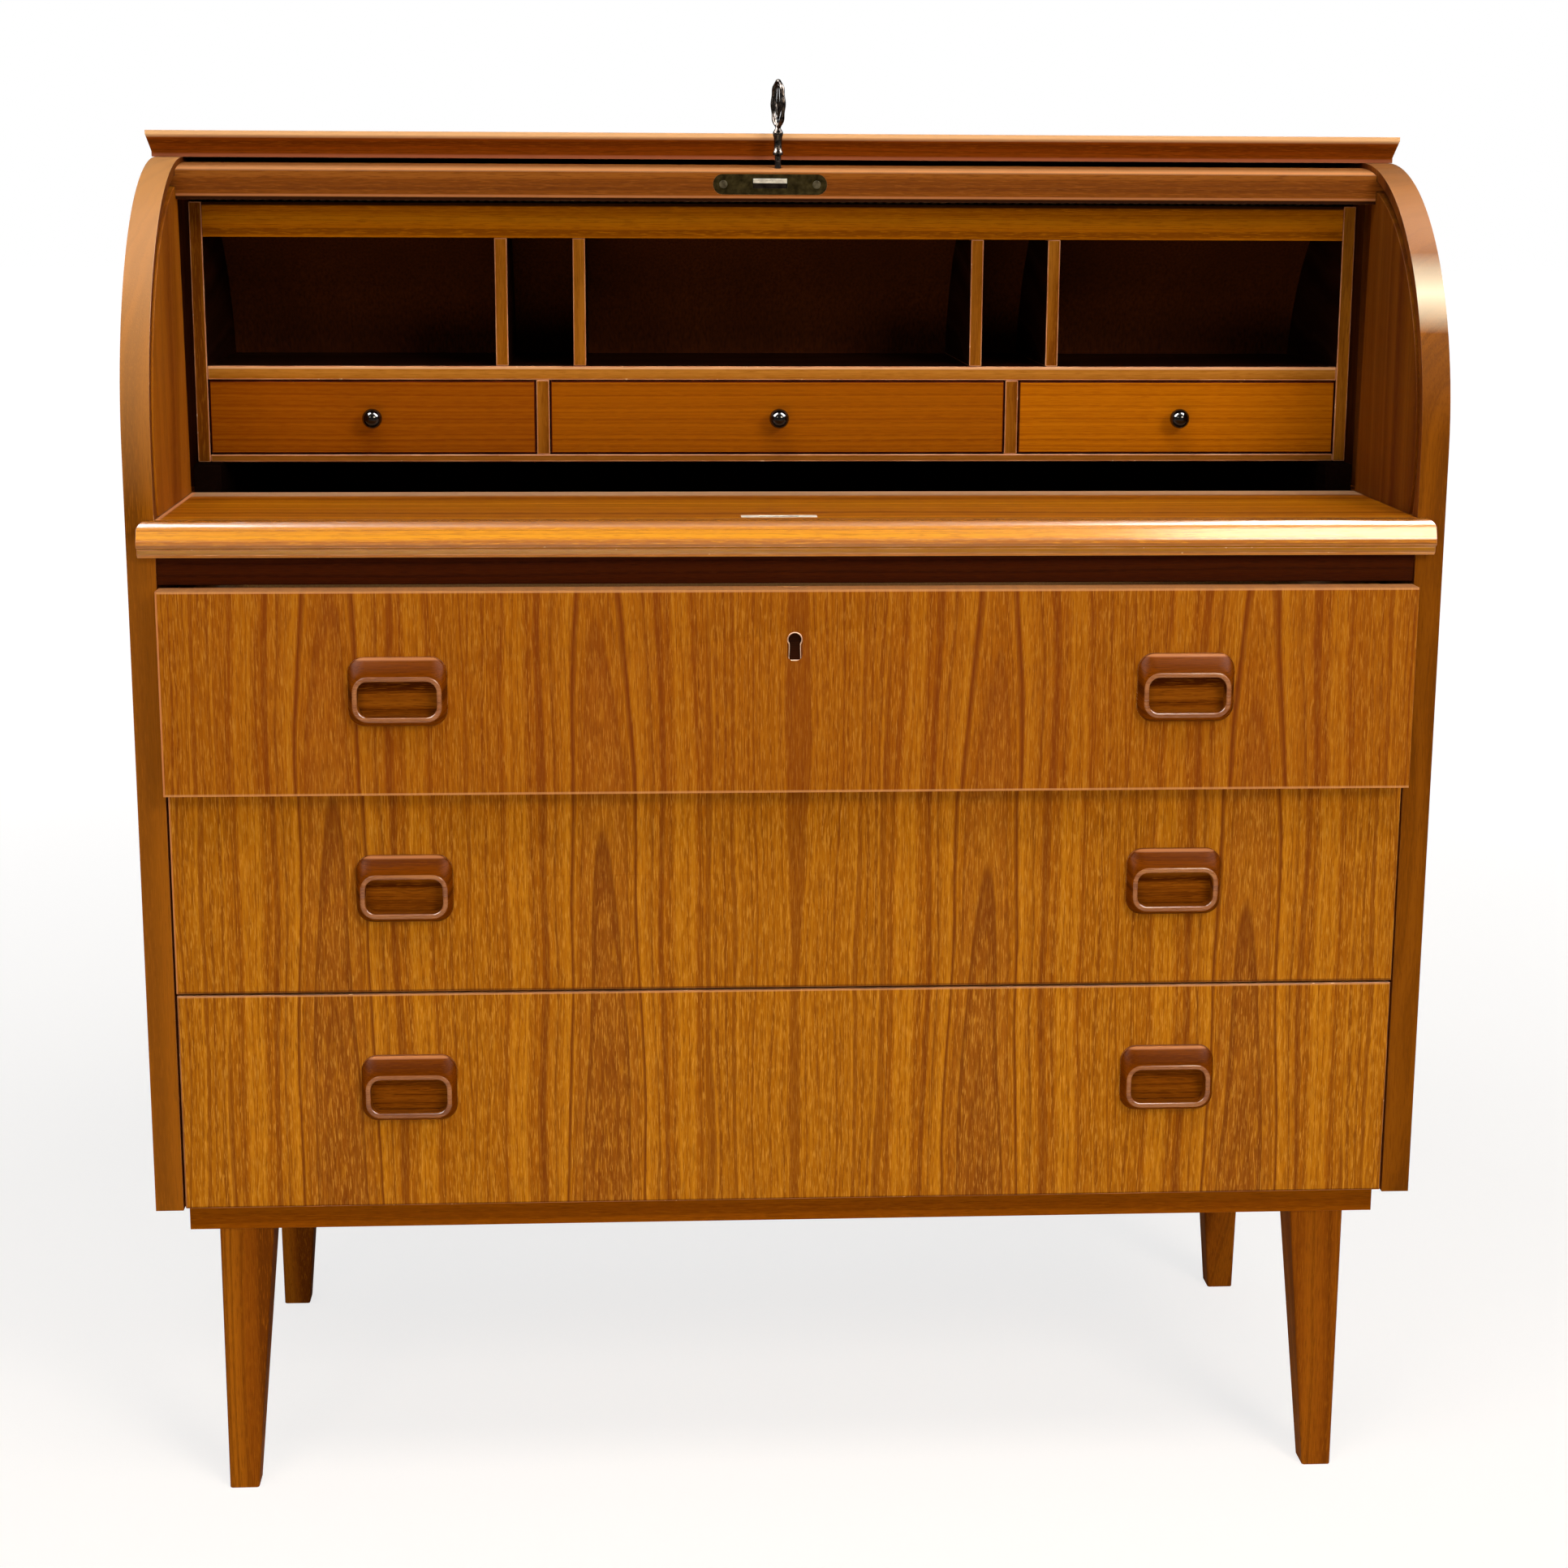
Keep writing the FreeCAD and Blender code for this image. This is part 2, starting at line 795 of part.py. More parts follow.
def strike_pocket():
    """The slot that the tambour's bolt drops into."""
    x, y = strike_centre()
    half_x = rail_bolt_width / 2 + strike_slot_clearance
    half_y = rail_bolt_height / 2 + strike_slot_clearance
    return box(
        x - half_x, x + half_x, y - half_y, y + half_y, writing_height - strike_pocket_depth, writing_height
    )


def lead_rail():
    """The tambour's first, thick rail, with tongues in the grooves, its lock mortise and keyhole."""
    half = inner - rail_side_clearance
    body = ring(rail_inner_radius, rail_outer_radius, -half, half)
    tongue = ring(slat_inner_radius, slat_outer_radius, -slat_half_length, slat_half_length)
    span = box(-half_width, half_width, closing_face, rail_rear, axis_z, side_top)
    rail = body.common(span).fuse(tongue.common(span)).removeSplitter()
    slot = ring(
        slat_inner_radius - canvas_thickness - canvas_slot_clearance,
        slat_inner_radius + canvas_slot_clearance,
        -canvas_half_length() - canvas_slot_clearance,
        canvas_half_length() + canvas_slot_clearance,
    )
    tuck = on_arc(slat_inner_radius, first_slat_angle + canvas_tuck_angle + slat_gap_angle)
    slot = slot.common(box(-half_width, half_width, tuck.y, desk_depth, axis_z, side_top))
    keyhole = rod(
        point(key_offset, key_y, axis_z + rail_case_centre_radius), key_rail_hole_radius, rim_radius, point(0, 0, 1)
    )
    rail = rail.cut(slot).cut(lock_plate_blank()).cut(rail_case_block(lock_fit)).cut(keyhole)
    for screw in plate_screws(screw_fit):
        rail = rail.cut(screw)
    return rail


def tambour_slats():
    """The slats: equal strips round the axis, with their outer edges eased."""
    slats = []
    width_angle = slat_pitch_angle - slat_gap_angle
    first = first_slat_angle
    middle_radius = (slat_inner_radius + slat_outer_radius) / 2
    ease = math.degrees(slat_chamfer / middle_radius)
    for index in range(slat_count):
        start = first - index * slat_pitch_angle
        end = start - width_angle
        middle = (start + end) / 2
        outline = [
            on_arc(slat_inner_radius, start),
            on_arc(slat_outer_radius - slat_chamfer, start),
            on_arc(slat_outer_radius, start - ease),
            on_arc(slat_outer_radius, end + ease),
            on_arc(slat_outer_radius - slat_chamfer, end),
            on_arc(slat_inner_radius, end),
        ]
        edges = [
            Part.makeLine(outline[0], outline[1]),
            Part.makeLine(outline[1], outline[2]),
            Part.Arc(outline[2], on_arc(slat_outer_radius, middle), outline[3]).toShape(),
            Part.makeLine(outline[3], outline[4]),
            Part.makeLine(outline[4], outline[5]),
            Part.Arc(outline[5], on_arc(slat_inner_radius, middle), outline[0]).toShape(),
        ]
        slat = Part.Face(Part.Wire(edges)).extrude(point(2 * slat_half_length, 0, 0))
        slats.append(slat.translated(point(-slat_half_length, 0, 0)))
    return slats


def canvas_half_length():
    """Half the canvas's width, short of the grooves."""
    return inner - canvas_end_inset


def tambour_canvas():
    """The cloth glued inside the slats and tucked into a slot of the lead rail."""
    inside = slat_inner_radius - canvas_thickness
    start = first_slat_angle + canvas_tuck_angle
    middle = (start + tail_angle) / 2
    edges = [
        Part.Arc(
            on_arc(slat_inner_radius, start), on_arc(slat_inner_radius, middle), on_arc(slat_inner_radius, tail_angle)
        ).toShape(),
        Part.makeLine(on_arc(slat_inner_radius, tail_angle), on_arc(inside, tail_angle)),
        Part.Arc(on_arc(inside, tail_angle), on_arc(inside, middle), on_arc(inside, start)).toShape(),
        Part.makeLine(on_arc(inside, start), on_arc(slat_inner_radius, start)),
    ]
    sheet = Part.Face(Part.Wire(edges)).extrude(point(2 * canvas_half_length(), 0, 0))
    return sheet.translated(point(-canvas_half_length(), 0, 0))


def lock_plate_blank():
    """The lock plate before its slot and holes, let into the closing face."""
    middle = axis_z + plate_centre_radius
    corner = plate_height / 2 * round_end_share
    return front_slab(
        lock_offset - plate_width / 2,
        lock_offset + plate_width / 2,
        middle - plate_height / 2,
        middle + plate_height / 2,
        corner,
        closing_face,
        lock_case_y,
    )


def rail_bolt(spare=0):
    """The bolt of the tambour's lock, flush with its plate."""
    middle = axis_z + rail_bolt_radius
    return box(
        lock_offset - rail_bolt_width / 2 - spare,
        lock_offset + rail_bolt_width / 2 + spare,
        closing_face,
        closing_face + rail_bolt_length + spare,
        middle - rail_bolt_height / 2 - spare,
        middle + rail_bolt_height / 2 + spare,
    )


def plate_screws(spare=0):
    """The two screws of the lock plate."""
    screws = []
    for side in (-1, 1):
        start = point(
            lock_offset + side * plate_screw_place, closing_face, axis_z + plate_centre_radius
        )
        head = rod(start, screw_head_radius + spare, screw_head_height + spare, point(0, 1, 0))
        shank = rod(start, screw_radius + spare, screw_length + spare, point(0, 1, 0))
        screws.append(head.fuse(shank).removeSplitter())
    return screws


def lock_plate():
    """The plate with its bolt slot and screw holes."""
    bolt = rail_bolt(lock_fit)
    slot = bolt.fuse(bolt.translated(point(0, 0, -plate_slot_drop))).translated(point(0, -overrun, 0))
    plate = lock_plate_blank().cut(slot.fuse(slot.translated(point(0, overrun, 0))))
    for screw in plate_screws(screw_fit):
        plate = plate.cut(screw)
    return plate


def rail_case_block(spare=0):
    """The outside of the tambour's lock case."""
    middle = axis_z + rail_case_centre_radius
    return box(
        lock_offset - rail_case_width / 2 - spare,
        lock_offset + rail_case_width / 2 + spare,
        lock_case_y,
        lock_case_y + rail_case_depth + spare,
        middle - rail_case_height / 2 - spare,
        middle + rail_case_height / 2 + spare,
    )


def rail_lock_case():
    """The case, with the bolt's channel, the key's bore and the room that its bit turns in."""
    foot = axis_z + key_foot_radius
    bore_radius = key_shank_radius + key_hole_clearance
    bore = rod(point(key_offset, key_y, foot), bore_radius, rim_radius, point(0, 0, 1))
    room = rod(
        point(key_offset, key_y, foot - key_bit_clearance),
        key_bit_length + key_bit_clearance,
        key_bit_height + 2 * key_bit_clearance,
        point(0, 0, 1),
    )
    return rail_case_block().cut(rail_bolt(lock_fit)).cut(bore).cut(room)


def key_oval(half_width, half_height, left, thickness):
    """An upright oval disc, standing across the desk's depth, in the middle of the key's bow."""
    middle = key_top - key_bow_half_height
    centre = point(left, key_y, middle)
    top = point(left, key_y, middle + half_height)
    side = point(left, key_y + half_width, middle)
    rim = Part.Ellipse(top, side, centre).toShape()
    return Part.Face(Part.Wire(rim)).extrude(point(thickness, 0, 0))


def key():
    """The key: a round shank with two collars, an oval bow turned nearly edge-on, and a flat bit."""
    foot = axis_z + key_foot_radius
    up = point(0, 0, 1)
    bow_foot = key_top - 2 * key_bow_half_height + key_bow_rim / 2
    shank = rod(point(key_offset, key_y, foot), key_shank_radius, bow_foot - foot, up)
    left = key_offset - key_bow_thickness / 2
    bow = key_oval(key_bow_half_width, key_bow_half_height, left, key_bow_thickness)
    hole = key_oval(
        key_bow_half_width - key_bow_rim,
        key_bow_half_height - key_bow_rim,
        left - overrun,
        key_bow_thickness + 2 * overrun,
    )
    bow = bow.cut(hole)
    bow.rotate(point(key_offset, key_y, foot), up, key_bow_turn)
    whole = shank.fuse(bow)
    for lift in key_collar_lifts:
        collar_foot = point(key_offset, key_y, key_outside + lift)
        whole = whole.fuse(rod(collar_foot, key_collar_radius, key_collar_height, up))
    bit = box(
        key_offset - key_bit_thickness / 2,
        key_offset + key_bit_thickness / 2,
        key_y,
        key_y + key_bit_length,
        foot,
        foot + key_bit_height,
    )
    return whole.fuse(bit).removeSplitter()


def lock_strike():
    """The strike plate, flush in the writing surface."""
    return strike_outline().cut(strike_pocket())


def drawer_wall_foot(index):
    """The lower edge of a big drawer's sides."""
    if index == drawer_count - 1:
        return bottom_top + runner_height + runner_gap
    return drawer_place(index)[0] + drawer_wall_inset


def finger_recess(side, index):
    """The round-cornered finger hole through a pull and into the drawer front."""
    foot = drawer_place(index)[1] - pull_drop - pull_height + recess_foot
    x = side * pull_place
    return front_slab(
        x - recess_width / 2,
        x + recess_width / 2,
        foot,
        foot + recess_height,
        recess_corner,
        -pull_reach - overrun,
        recess_in_front,
    )


def drawer_pull(side, index):
    """A raised pull with a sloped crown, open at its front for the fingers."""
    top = drawer_place(index)[1] - pull_drop
    foot = top - pull_height
    x = side * pull_place
    outline = [
        (0, foot),
        (0, top),
        (-pull_crown_reach, top),
        (-pull_reach, top - pull_slope_height),
        (-pull_reach, foot + pull_base_set),
        (-pull_reach + pull_base_set, foot),
    ]
    left = x - pull_width / 2
    right = x + pull_width / 2
    block = side_prism(outline, left, right)
    block = block.common(front_slab(left, right, foot, top, pull_corner, -pull_reach, 0))
    return block.cut(finger_recess(side, index))


def drawer_lock_block(spare=0):
    """The outside of the top drawer's lock case, let into the back of its front."""
    top = drawer_place(0)[1] - case_top_gap
    return box(
        -case_width / 2 - spare,
        case_width / 2 + spare,
        drawer_front_thickness - case_depth - spare,
        drawer_front_thickness,
        top - case_height - spare,
        top + spare,
    )


def drawer_bolt(spare=0):
    """The bolt of the top drawer's lock, drawn in."""
    top = drawer_place(0)[1] - case_top_gap
    rear = drawer_front_thickness - drawer_bolt_back
    return box(
        -drawer_bolt_width / 2 - spare,
        drawer_bolt_width / 2 + spare,
        rear - drawer_bolt_depth - spare,
        rear + spare,
        top - drawer_bolt_length - spare,
        top + spare,
    )


def keyhole_plate_blank():
    """The small oval liner round the top drawer's keyhole."""
    middle = drawer_place(0)[1] - keyhole_drop
    return front_slab(
        -keyhole_width / 2,
        keyhole_width / 2,
        middle - keyhole_height / 2,
        middle + keyhole_height / 2,
        keyhole_width / 2 * round_end_share,
        0,
        keyhole_plate_thickness,
    )


def keyhole_bore():
    """The keyhole: a round eye over a narrow slot, in to the lock case."""
    middle = drawer_place(0)[1] - keyhole_drop
    rear = drawer_front_thickness - case_depth + overrun
    eye = rod(point(0, -overrun, middle + keyhole_slot_radius), keyhole_slot_radius, rear + overrun, point(0, 1, 0))
    slot = box(
        -keyhole_slot_width / 2,
        keyhole_slot_width / 2,
        -overrun,
        rear,
        middle + keyhole_slot_radius - keyhole_slot_length,
        middle + keyhole_slot_radius,
    )
    return eye.fuse(slot)


def drawer_front(index):
    """The solid front of a big drawer, with its finger recesses; the top one also takes a lock."""
    foot, top = drawer_place(index)
    front = box(-drawer_half_width, drawer_half_width, 0, drawer_front_thickness, foot, top)
    for side in (-1, 1):
        front = front.cut(finger_recess(side, index))
    if index == 0:
        chimney = drawer_bolt(lock_fit).translated(point(0, 0, drawer_bolt_travel))
        front = front.cut(drawer_lock_block(lock_fit)).cut(chimney)
        front = front.cut(keyhole_plate_blank()).cut(keyhole_bore())
    return front


def drawer_box(index):
    """Two sides, the back and the floor of a big drawer."""
    foot = drawer_wall_foot(index)
    top = drawer_place(index)[1] - drawer_wall_inset
    wall = drawer_half_width - drawer_wall
    front = drawer_front_thickness
    rear = drawer_rear - drawer_wall
    floor = foot + drawer_base_rise
    side = box(wall, drawer_half_width, front, drawer_rear, foot, top)
    back = box(-wall, wall, rear, drawer_rear, foot, top)
    base = box(-wall, wall, front, rear, floor, floor + drawer_base)
    return both_sides(side) + [back, base]


def drawer_lock_case():
    """The lock case of the top drawer, with its bolt channel and keyhole."""
    channel = drawer_bolt(lock_fit)
    channel = channel.fuse(channel.translated(point(0, 0, drawer_bolt_travel)))
    return drawer_lock_block().cut(channel).cut(keyhole_bore())


def write_carcass():
    write("side_panel_left", [mirrored(side_panel())])
    write("side_panel_right", [side_panel()])
    write("side_cheeks", both_sides(side_cheek()))
    write("tambour_rear_guides", both_sides(rear_guide()))
    write("top_board", [top_board()])
    write("bottom_board", [bottom_board()])
    write("back_panel", [back_panel()])
    write("front_rail", [front_rail()])
    write("slide_bearers", both_sides(slide_bearer()))
    write("slide_keepers", both_sides(slide_keeper()))
    write("drawer_runners", [s for strip in drawer_runners() for s in both_sides(strip)])
    write("case_dowels", [d for dowel in case_dowels() for d in both_sides(dowel)])
    write("plinth_frame", plinth_frame())
    write("leg_dowels", [leg_dowel(*place) for place in leg_places()])
    for side, end in leg_places():
        name = "leg_" + ("front" if end < 0 else "rear") + ("_left" if side < 0 else "_right")
        write(name, [leg(side, end)])


def write_unit():
    write("unit_side_left", [mirrored(unit_side())])
    write("unit_side_right", [unit_side()])
    write("unit_top_rail", [unit_top_rail()])
    write("unit_top_panel", [unit_top_panel()])
    write("unit_shelf", [unit_shelf()])
    write("unit_base", [unit_base()])
    write("unit_back", [unit_back()])
    write("pigeonhole_dividers", [d for one in pigeonhole_dividers() for d in both_sides(one)])
    write("unit_drawer_dividers", both_sides(unit_drawer_divider()))
    for name, which in (("left", -1), ("middle", 0), ("right", 1)):
        write(f"small_drawer_{name}_front", [small_drawer_front(which)])
        write(f"small_drawer_{name}_box", small_drawer_box(which))
        write(f"small_drawer_{name}_knob", [knob(which)])


def write_slide():
    write("writing_slide", [writing_slide()])
    write("slide_lip", [slide_lip()])
    write("slide_arms", both_sides(slide_arm()))
    write("lock_strike", [lock_strike()])


def write_tambour():
    write("lead_rail", [lead_rail()])
    write("tambour_slats", tambour_slats())
    write("tambour_canvas", [tambour_canvas()])
    write("lock_plate", [lock_plate()])
    write("lock_plate_screws", plate_screws())
    write("rail_lock_case", [rail_lock_case()])
    write("rail_lock_bolt", [rail_bolt()])
    write("key", [key()])


def write_drawers():
    for index, name in enumerate(("top", "middle", "bottom")):
        ajar = point(0, -top_drawer_ajar if index == 0 else 0, 0)
        pulls = [drawer_pull(side, index) for side in (-1, 1)]
        write(f"drawer_{name}_front", [drawer_front(index).translated(ajar)])
        write(f"drawer_{name}_box", [solid.translated(ajar) for solid in drawer_box(index)])
        write(f"drawer_{name}_pulls", [pull.translated(ajar) for pull in pulls])
    ajar = point(0, -top_drawer_ajar, 0)
    write("drawer_lock_case", [drawer_lock_case().translated(ajar)])
    write("drawer_lock_bolt", [drawer_bolt().translated(ajar)])
    write("keyhole_plate", [keyhole_plate_blank().cut(keyhole_bore()).translated(ajar)])


write_carcass()
write_unit()
write_slide()
write_tambour()
write_drawers()
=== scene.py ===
import json
import math

import bmesh
import bpy
import numpy as np
from mathutils import Matrix, Vector

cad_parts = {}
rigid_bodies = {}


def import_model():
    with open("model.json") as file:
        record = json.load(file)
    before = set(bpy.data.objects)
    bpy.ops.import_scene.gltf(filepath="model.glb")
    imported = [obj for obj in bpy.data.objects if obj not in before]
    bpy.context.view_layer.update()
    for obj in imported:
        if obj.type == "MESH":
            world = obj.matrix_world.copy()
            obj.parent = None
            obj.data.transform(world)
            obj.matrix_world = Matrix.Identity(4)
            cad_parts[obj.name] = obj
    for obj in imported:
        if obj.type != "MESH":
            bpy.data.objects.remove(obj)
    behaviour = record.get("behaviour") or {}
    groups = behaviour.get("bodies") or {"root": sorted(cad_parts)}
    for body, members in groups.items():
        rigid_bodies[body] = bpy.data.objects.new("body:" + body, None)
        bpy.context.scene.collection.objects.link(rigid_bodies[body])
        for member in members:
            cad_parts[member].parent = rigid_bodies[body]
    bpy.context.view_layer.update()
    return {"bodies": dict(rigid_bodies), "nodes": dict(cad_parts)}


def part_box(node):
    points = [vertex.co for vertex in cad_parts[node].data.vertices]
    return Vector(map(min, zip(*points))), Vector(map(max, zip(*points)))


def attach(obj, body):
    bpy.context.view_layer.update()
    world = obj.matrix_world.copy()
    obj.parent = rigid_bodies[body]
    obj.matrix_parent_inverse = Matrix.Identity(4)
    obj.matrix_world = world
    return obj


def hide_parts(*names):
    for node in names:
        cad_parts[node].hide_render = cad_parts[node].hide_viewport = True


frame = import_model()

# Tambour secretary desk in teak. Metres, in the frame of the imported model:
# X across the desk, +Y to its back, +Z up, the origin on the floor under its middle.

MM = 0.001


# Finishes


def linear(hex_colour):
    """An sRGB hex colour as linear red, green, blue and alpha."""
    parts = [int(hex_colour[i : i + 2], 16) / 255 for i in (1, 3, 5)]
    return [c / 12.92 if c <= 0.04045 else ((c + 0.055) / 1.055) ** 2.4 for c in parts] + [1.0]


def add(tree, kind, inputs=None, out=0, ramp=None, **settings):
    """Adds one shader node with its settings, sets or links its inputs, and gives its output.

    A ramp is a list of (place, hex colour or grey level) stops."""
    node = tree.nodes.new("ShaderNode" + kind)
    for name, value in settings.items():
        setattr(node, name, value)
    for socket, value in (inputs or {}).items():
        if isinstance(value, bpy.types.NodeSocket):
            tree.links.new(value, node.inputs[socket])
        else:
            node.inputs[socket].default_value = value
    if ramp:
        stops = node.color_ramp.elements
        while len(stops) < len(ramp):
            stops.new(1.0)
        for stop, (place, colour) in zip(stops, ramp):
            stop.position = place
            stop.color = linear(colour) if isinstance(colour, str) else [colour] * 3 + [1.0]
    return node.outputs[out] if node.outputs else None


def new_material(name):
    """An empty node material and its tree."""
    material = bpy.data.materials.new(name)
    material.use_nodes = True
    material.node_tree.nodes.clear()
    return material, material.node_tree


def finish_surface(tree, colour, roughness, height=None, bump=0.2, depth=0.0002, **sockets):
    """The shader and output of a material. depth is the height of the relief in metres."""
    inputs = {"Base Color": colour, "Roughness": roughness}
    if height is not None:
        inputs["Normal"] = add(tree, "Bump", {"Strength": bump, "Distance": depth, "Height": height})
    inputs.update({name.replace("_", " "): value for name, value in sockets.items()})
    add(tree, "OutputMaterial", {"Surface": add(tree, "BsdfPrincipled", inputs)})


def stretched(tree, along, sizes):
    """Object coordinates divided by real sizes: sizes[0] along the grain, sizes[1] across it."""
    scale = [1 / sizes[1]] * 3
    scale["XYZ".index(along)] = 1 / sizes[0]
    place = add(tree, "TexCoord", out="Object")
    return add(tree, "Mapping", {"Vector": place, "Scale": scale})


def pores(tree, along, length, width, low, high):
    """Fine strokes along the grain: 1 where a stroke is, 0 elsewhere."""
    place = stretched(tree, along, (length, width))
    strokes = add(tree, "TexNoise", {"Vector": place, "Scale": 1.0, "Detail": 2.0, "Roughness": 0.55})
    return add(tree, "MapRange", {"Value": strokes, "From Min": low, "From Max": high})


def lay_over(tree, share, colour, hue):
    """A colour with a hex colour laid over it, by a share from 0 to 1."""
    inputs = {"Factor": share, 6: colour, 7: linear(hue)}
    return add(tree, "Mix", inputs, out=2, data_type="RGBA", blend_type="MIX")


def ring_lines(tree, along, pith, wander):
    """How far a point lies from the middle of the tree, in metres, with the slow wander of real grain.

    pith is the place of that middle in the two directions across the grain."""
    place = add(tree, "TexCoord", out="Object")
    inputs = {"Vector": stretched(tree, along, (0.32, 0.07)), "Scale": 1.0, "Detail": 3.0, "Roughness": 0.5}
    slow = add(tree, "TexNoise", inputs, out="Color")
    shift = add(tree, "VectorMath", {0: slow, 1: (0.5, 0.5, 0.5)}, operation="SUBTRACT")
    shift = add(tree, "VectorMath", {0: shift, 1: (wander,) * 3}, operation="MULTIPLY")
    moved = add(tree, "VectorMath", {0: place, 1: shift}, operation="ADD")
    keep = [1.0] * 3
    keep["XYZ".index(along)] = 0.0
    flat = add(tree, "VectorMath", {0: moved, 1: keep}, operation="MULTIPLY")
    centre = list(pith)
    centre.insert("XYZ".index(along), 0.0)
    away = add(tree, "VectorMath", {0: flat, 1: centre}, operation="SUBTRACT")
    return add(tree, "VectorMath", {0: away}, out="Value", operation="LENGTH")


def streaks(tree, radius, spacing, start, full, most):
    """Lines that follow the rings: a share from 0 to most, with a mean spacing in metres."""
    rings = add(tree, "Math", {0: radius, 1: 1 / spacing}, operation="MULTIPLY")
    inputs = {"W": rings, "Scale": 1.0, "Detail": 1.0, "Roughness": 0.5}
    noise = add(tree, "TexNoise", inputs, noise_dimensions="1D")
    return add(tree, "MapRange", {"Value": noise, "From Min": start, "From Max": full, "To Max": most})


def fibres(tree, colour, along, dark, light, share=0.5, length=0.014, width=0.0007):
    """Lays the short dark pores and pale flecks of teak over a colour; gives it and the pores' relief."""
    dark_pores = pores(tree, along, length, width, 0.47, 0.35)
    soft = add(tree, "Math", {0: dark_pores, 1: share}, operation="MULTIPLY")
    colour = lay_over(tree, soft, colour, dark)
    flecks = pores(tree, along, length * 0.8, width, 0.53, 0.66)
    soft = add(tree, "Math", {0: flecks, 1: share}, operation="MULTIPLY")
    colour = lay_over(tree, soft, colour, light)
    return colour, add(tree, "Math", {0: 1.0, 1: dark_pores}, operation="SUBTRACT")


def strips(tree, colour, bands):
    """Lays straight strips over a colour: each is (low, high, hex colour, share, softness), in metres.

    A strip runs between two heights, or between two places along the axis named as its sixth item."""
    places = split_place(tree)
    for low, high, hue, most, soft, *axis in bands:
        place = places[axis[0] if axis else "Z"]
        above = add(tree, "MapRange", {"Value": place, "From Min": low - soft, "From Max": low + soft})
        below = add(tree, "MapRange", {"Value": place, "From Min": high + soft, "From Max": high - soft})
        strip = add(tree, "Math", {0: above, 1: below}, operation="MULTIPLY")
        strip = add(tree, "Math", {0: strip, 1: most}, operation="MULTIPLY")
        colour = lay_over(tree, strip, colour, hue)
    return colour


def teak(
    name, along, tones, pith=(0.31, -0.47), ring=0.006, wander=0.03, rough=0.45, line=0.5, bands=(), **sockets
):
    """Oiled teak with its grain along one axis: rings, fine dark pores and pale flecks.

    tones are the dark line, the ground and the light band; ring is the spacing of the rings, wander
    how far they stray, line how dark they are. The broad light and dark zones are six rings wide.
    bands are strips for strips(), where an edge always catches the light or stays in shade."""
    material, tree = new_material(name)
    dark, ground, light = tones
    radius = ring_lines(tree, along, pith, wander)
    rings = add(tree, "Math", {0: radius, 1: 0.17 / ring}, operation="MULTIPLY")
    inputs = {"W": rings, "Scale": 1.0, "Detail": 2.0, "Roughness": 0.5}
    broad = add(tree, "TexNoise", inputs, noise_dimensions="1D")
    colour = add(tree, "ValToRGB", {"Fac": broad}, ramp=[(0.30, dark), (0.47, ground), (0.70, light)])
    # Fine lines, four to a ring, and then the rings' own
    for spacing, most in ((ring / 4, line * 0.5), (ring, line)):
        colour = lay_over(tree, streaks(tree, radius, spacing, 0.44, 0.35, most), colour, dark)
    colour, relief = fibres(tree, colour, along, dark, light)
    colour = strips(tree, colour, bands)
    span = {"Value": broad, "From Min": 0.3, "From Max": 0.7, "To Min": rough + 0.07, "To Max": rough - 0.05}
    settings = {"Specular_IOR_Level": 0.02, **sockets}
    finish_surface(tree, colour, add(tree, "MapRange", span), relief, bump=0.25, depth=0.00015, **settings)
    return material


def worn_edge(name, tones, chip, shine=0.4):
    """The eased corner of a teak piece: rubbed pale, with small chips down to bare wood."""
    material, tree = new_material(name)
    rub = add(tree, "TexNoise", {"Vector": stretched(tree, "X", (0.03, 0.02)), "Scale": 1.0, "Detail": 3.0})
    colour = add(tree, "ValToRGB", {"Fac": rub}, ramp=[(0.35, tones[0]), (0.5, tones[1]), (0.68, tones[2])])
    colour, relief = fibres(tree, colour, "X", tones[0], tones[2], 0.4)
    grit = stretched(tree, "X", (0.006, 0.006))
    dent = add(tree, "TexNoise", {"Vector": grit, "Scale": 1.0, "Detail": 2.0})
    chips = add(tree, "MapRange", {"Value": dent, "From Min": 0.70, "From Max": 0.74})
    colour = lay_over(tree, chips, colour, chip)
    finish_surface(tree, colour, 0.36, relief, bump=0.25, depth=0.00015, Specular_IOR_Level=shine)
    return material


def split_place(tree):
    """The three object coordinates of a point."""
    node = tree.nodes.new("ShaderNodeSeparateXYZ")
    tree.links.new(add(tree, "TexCoord", out="Object"), node.inputs[0])
    return node.outputs


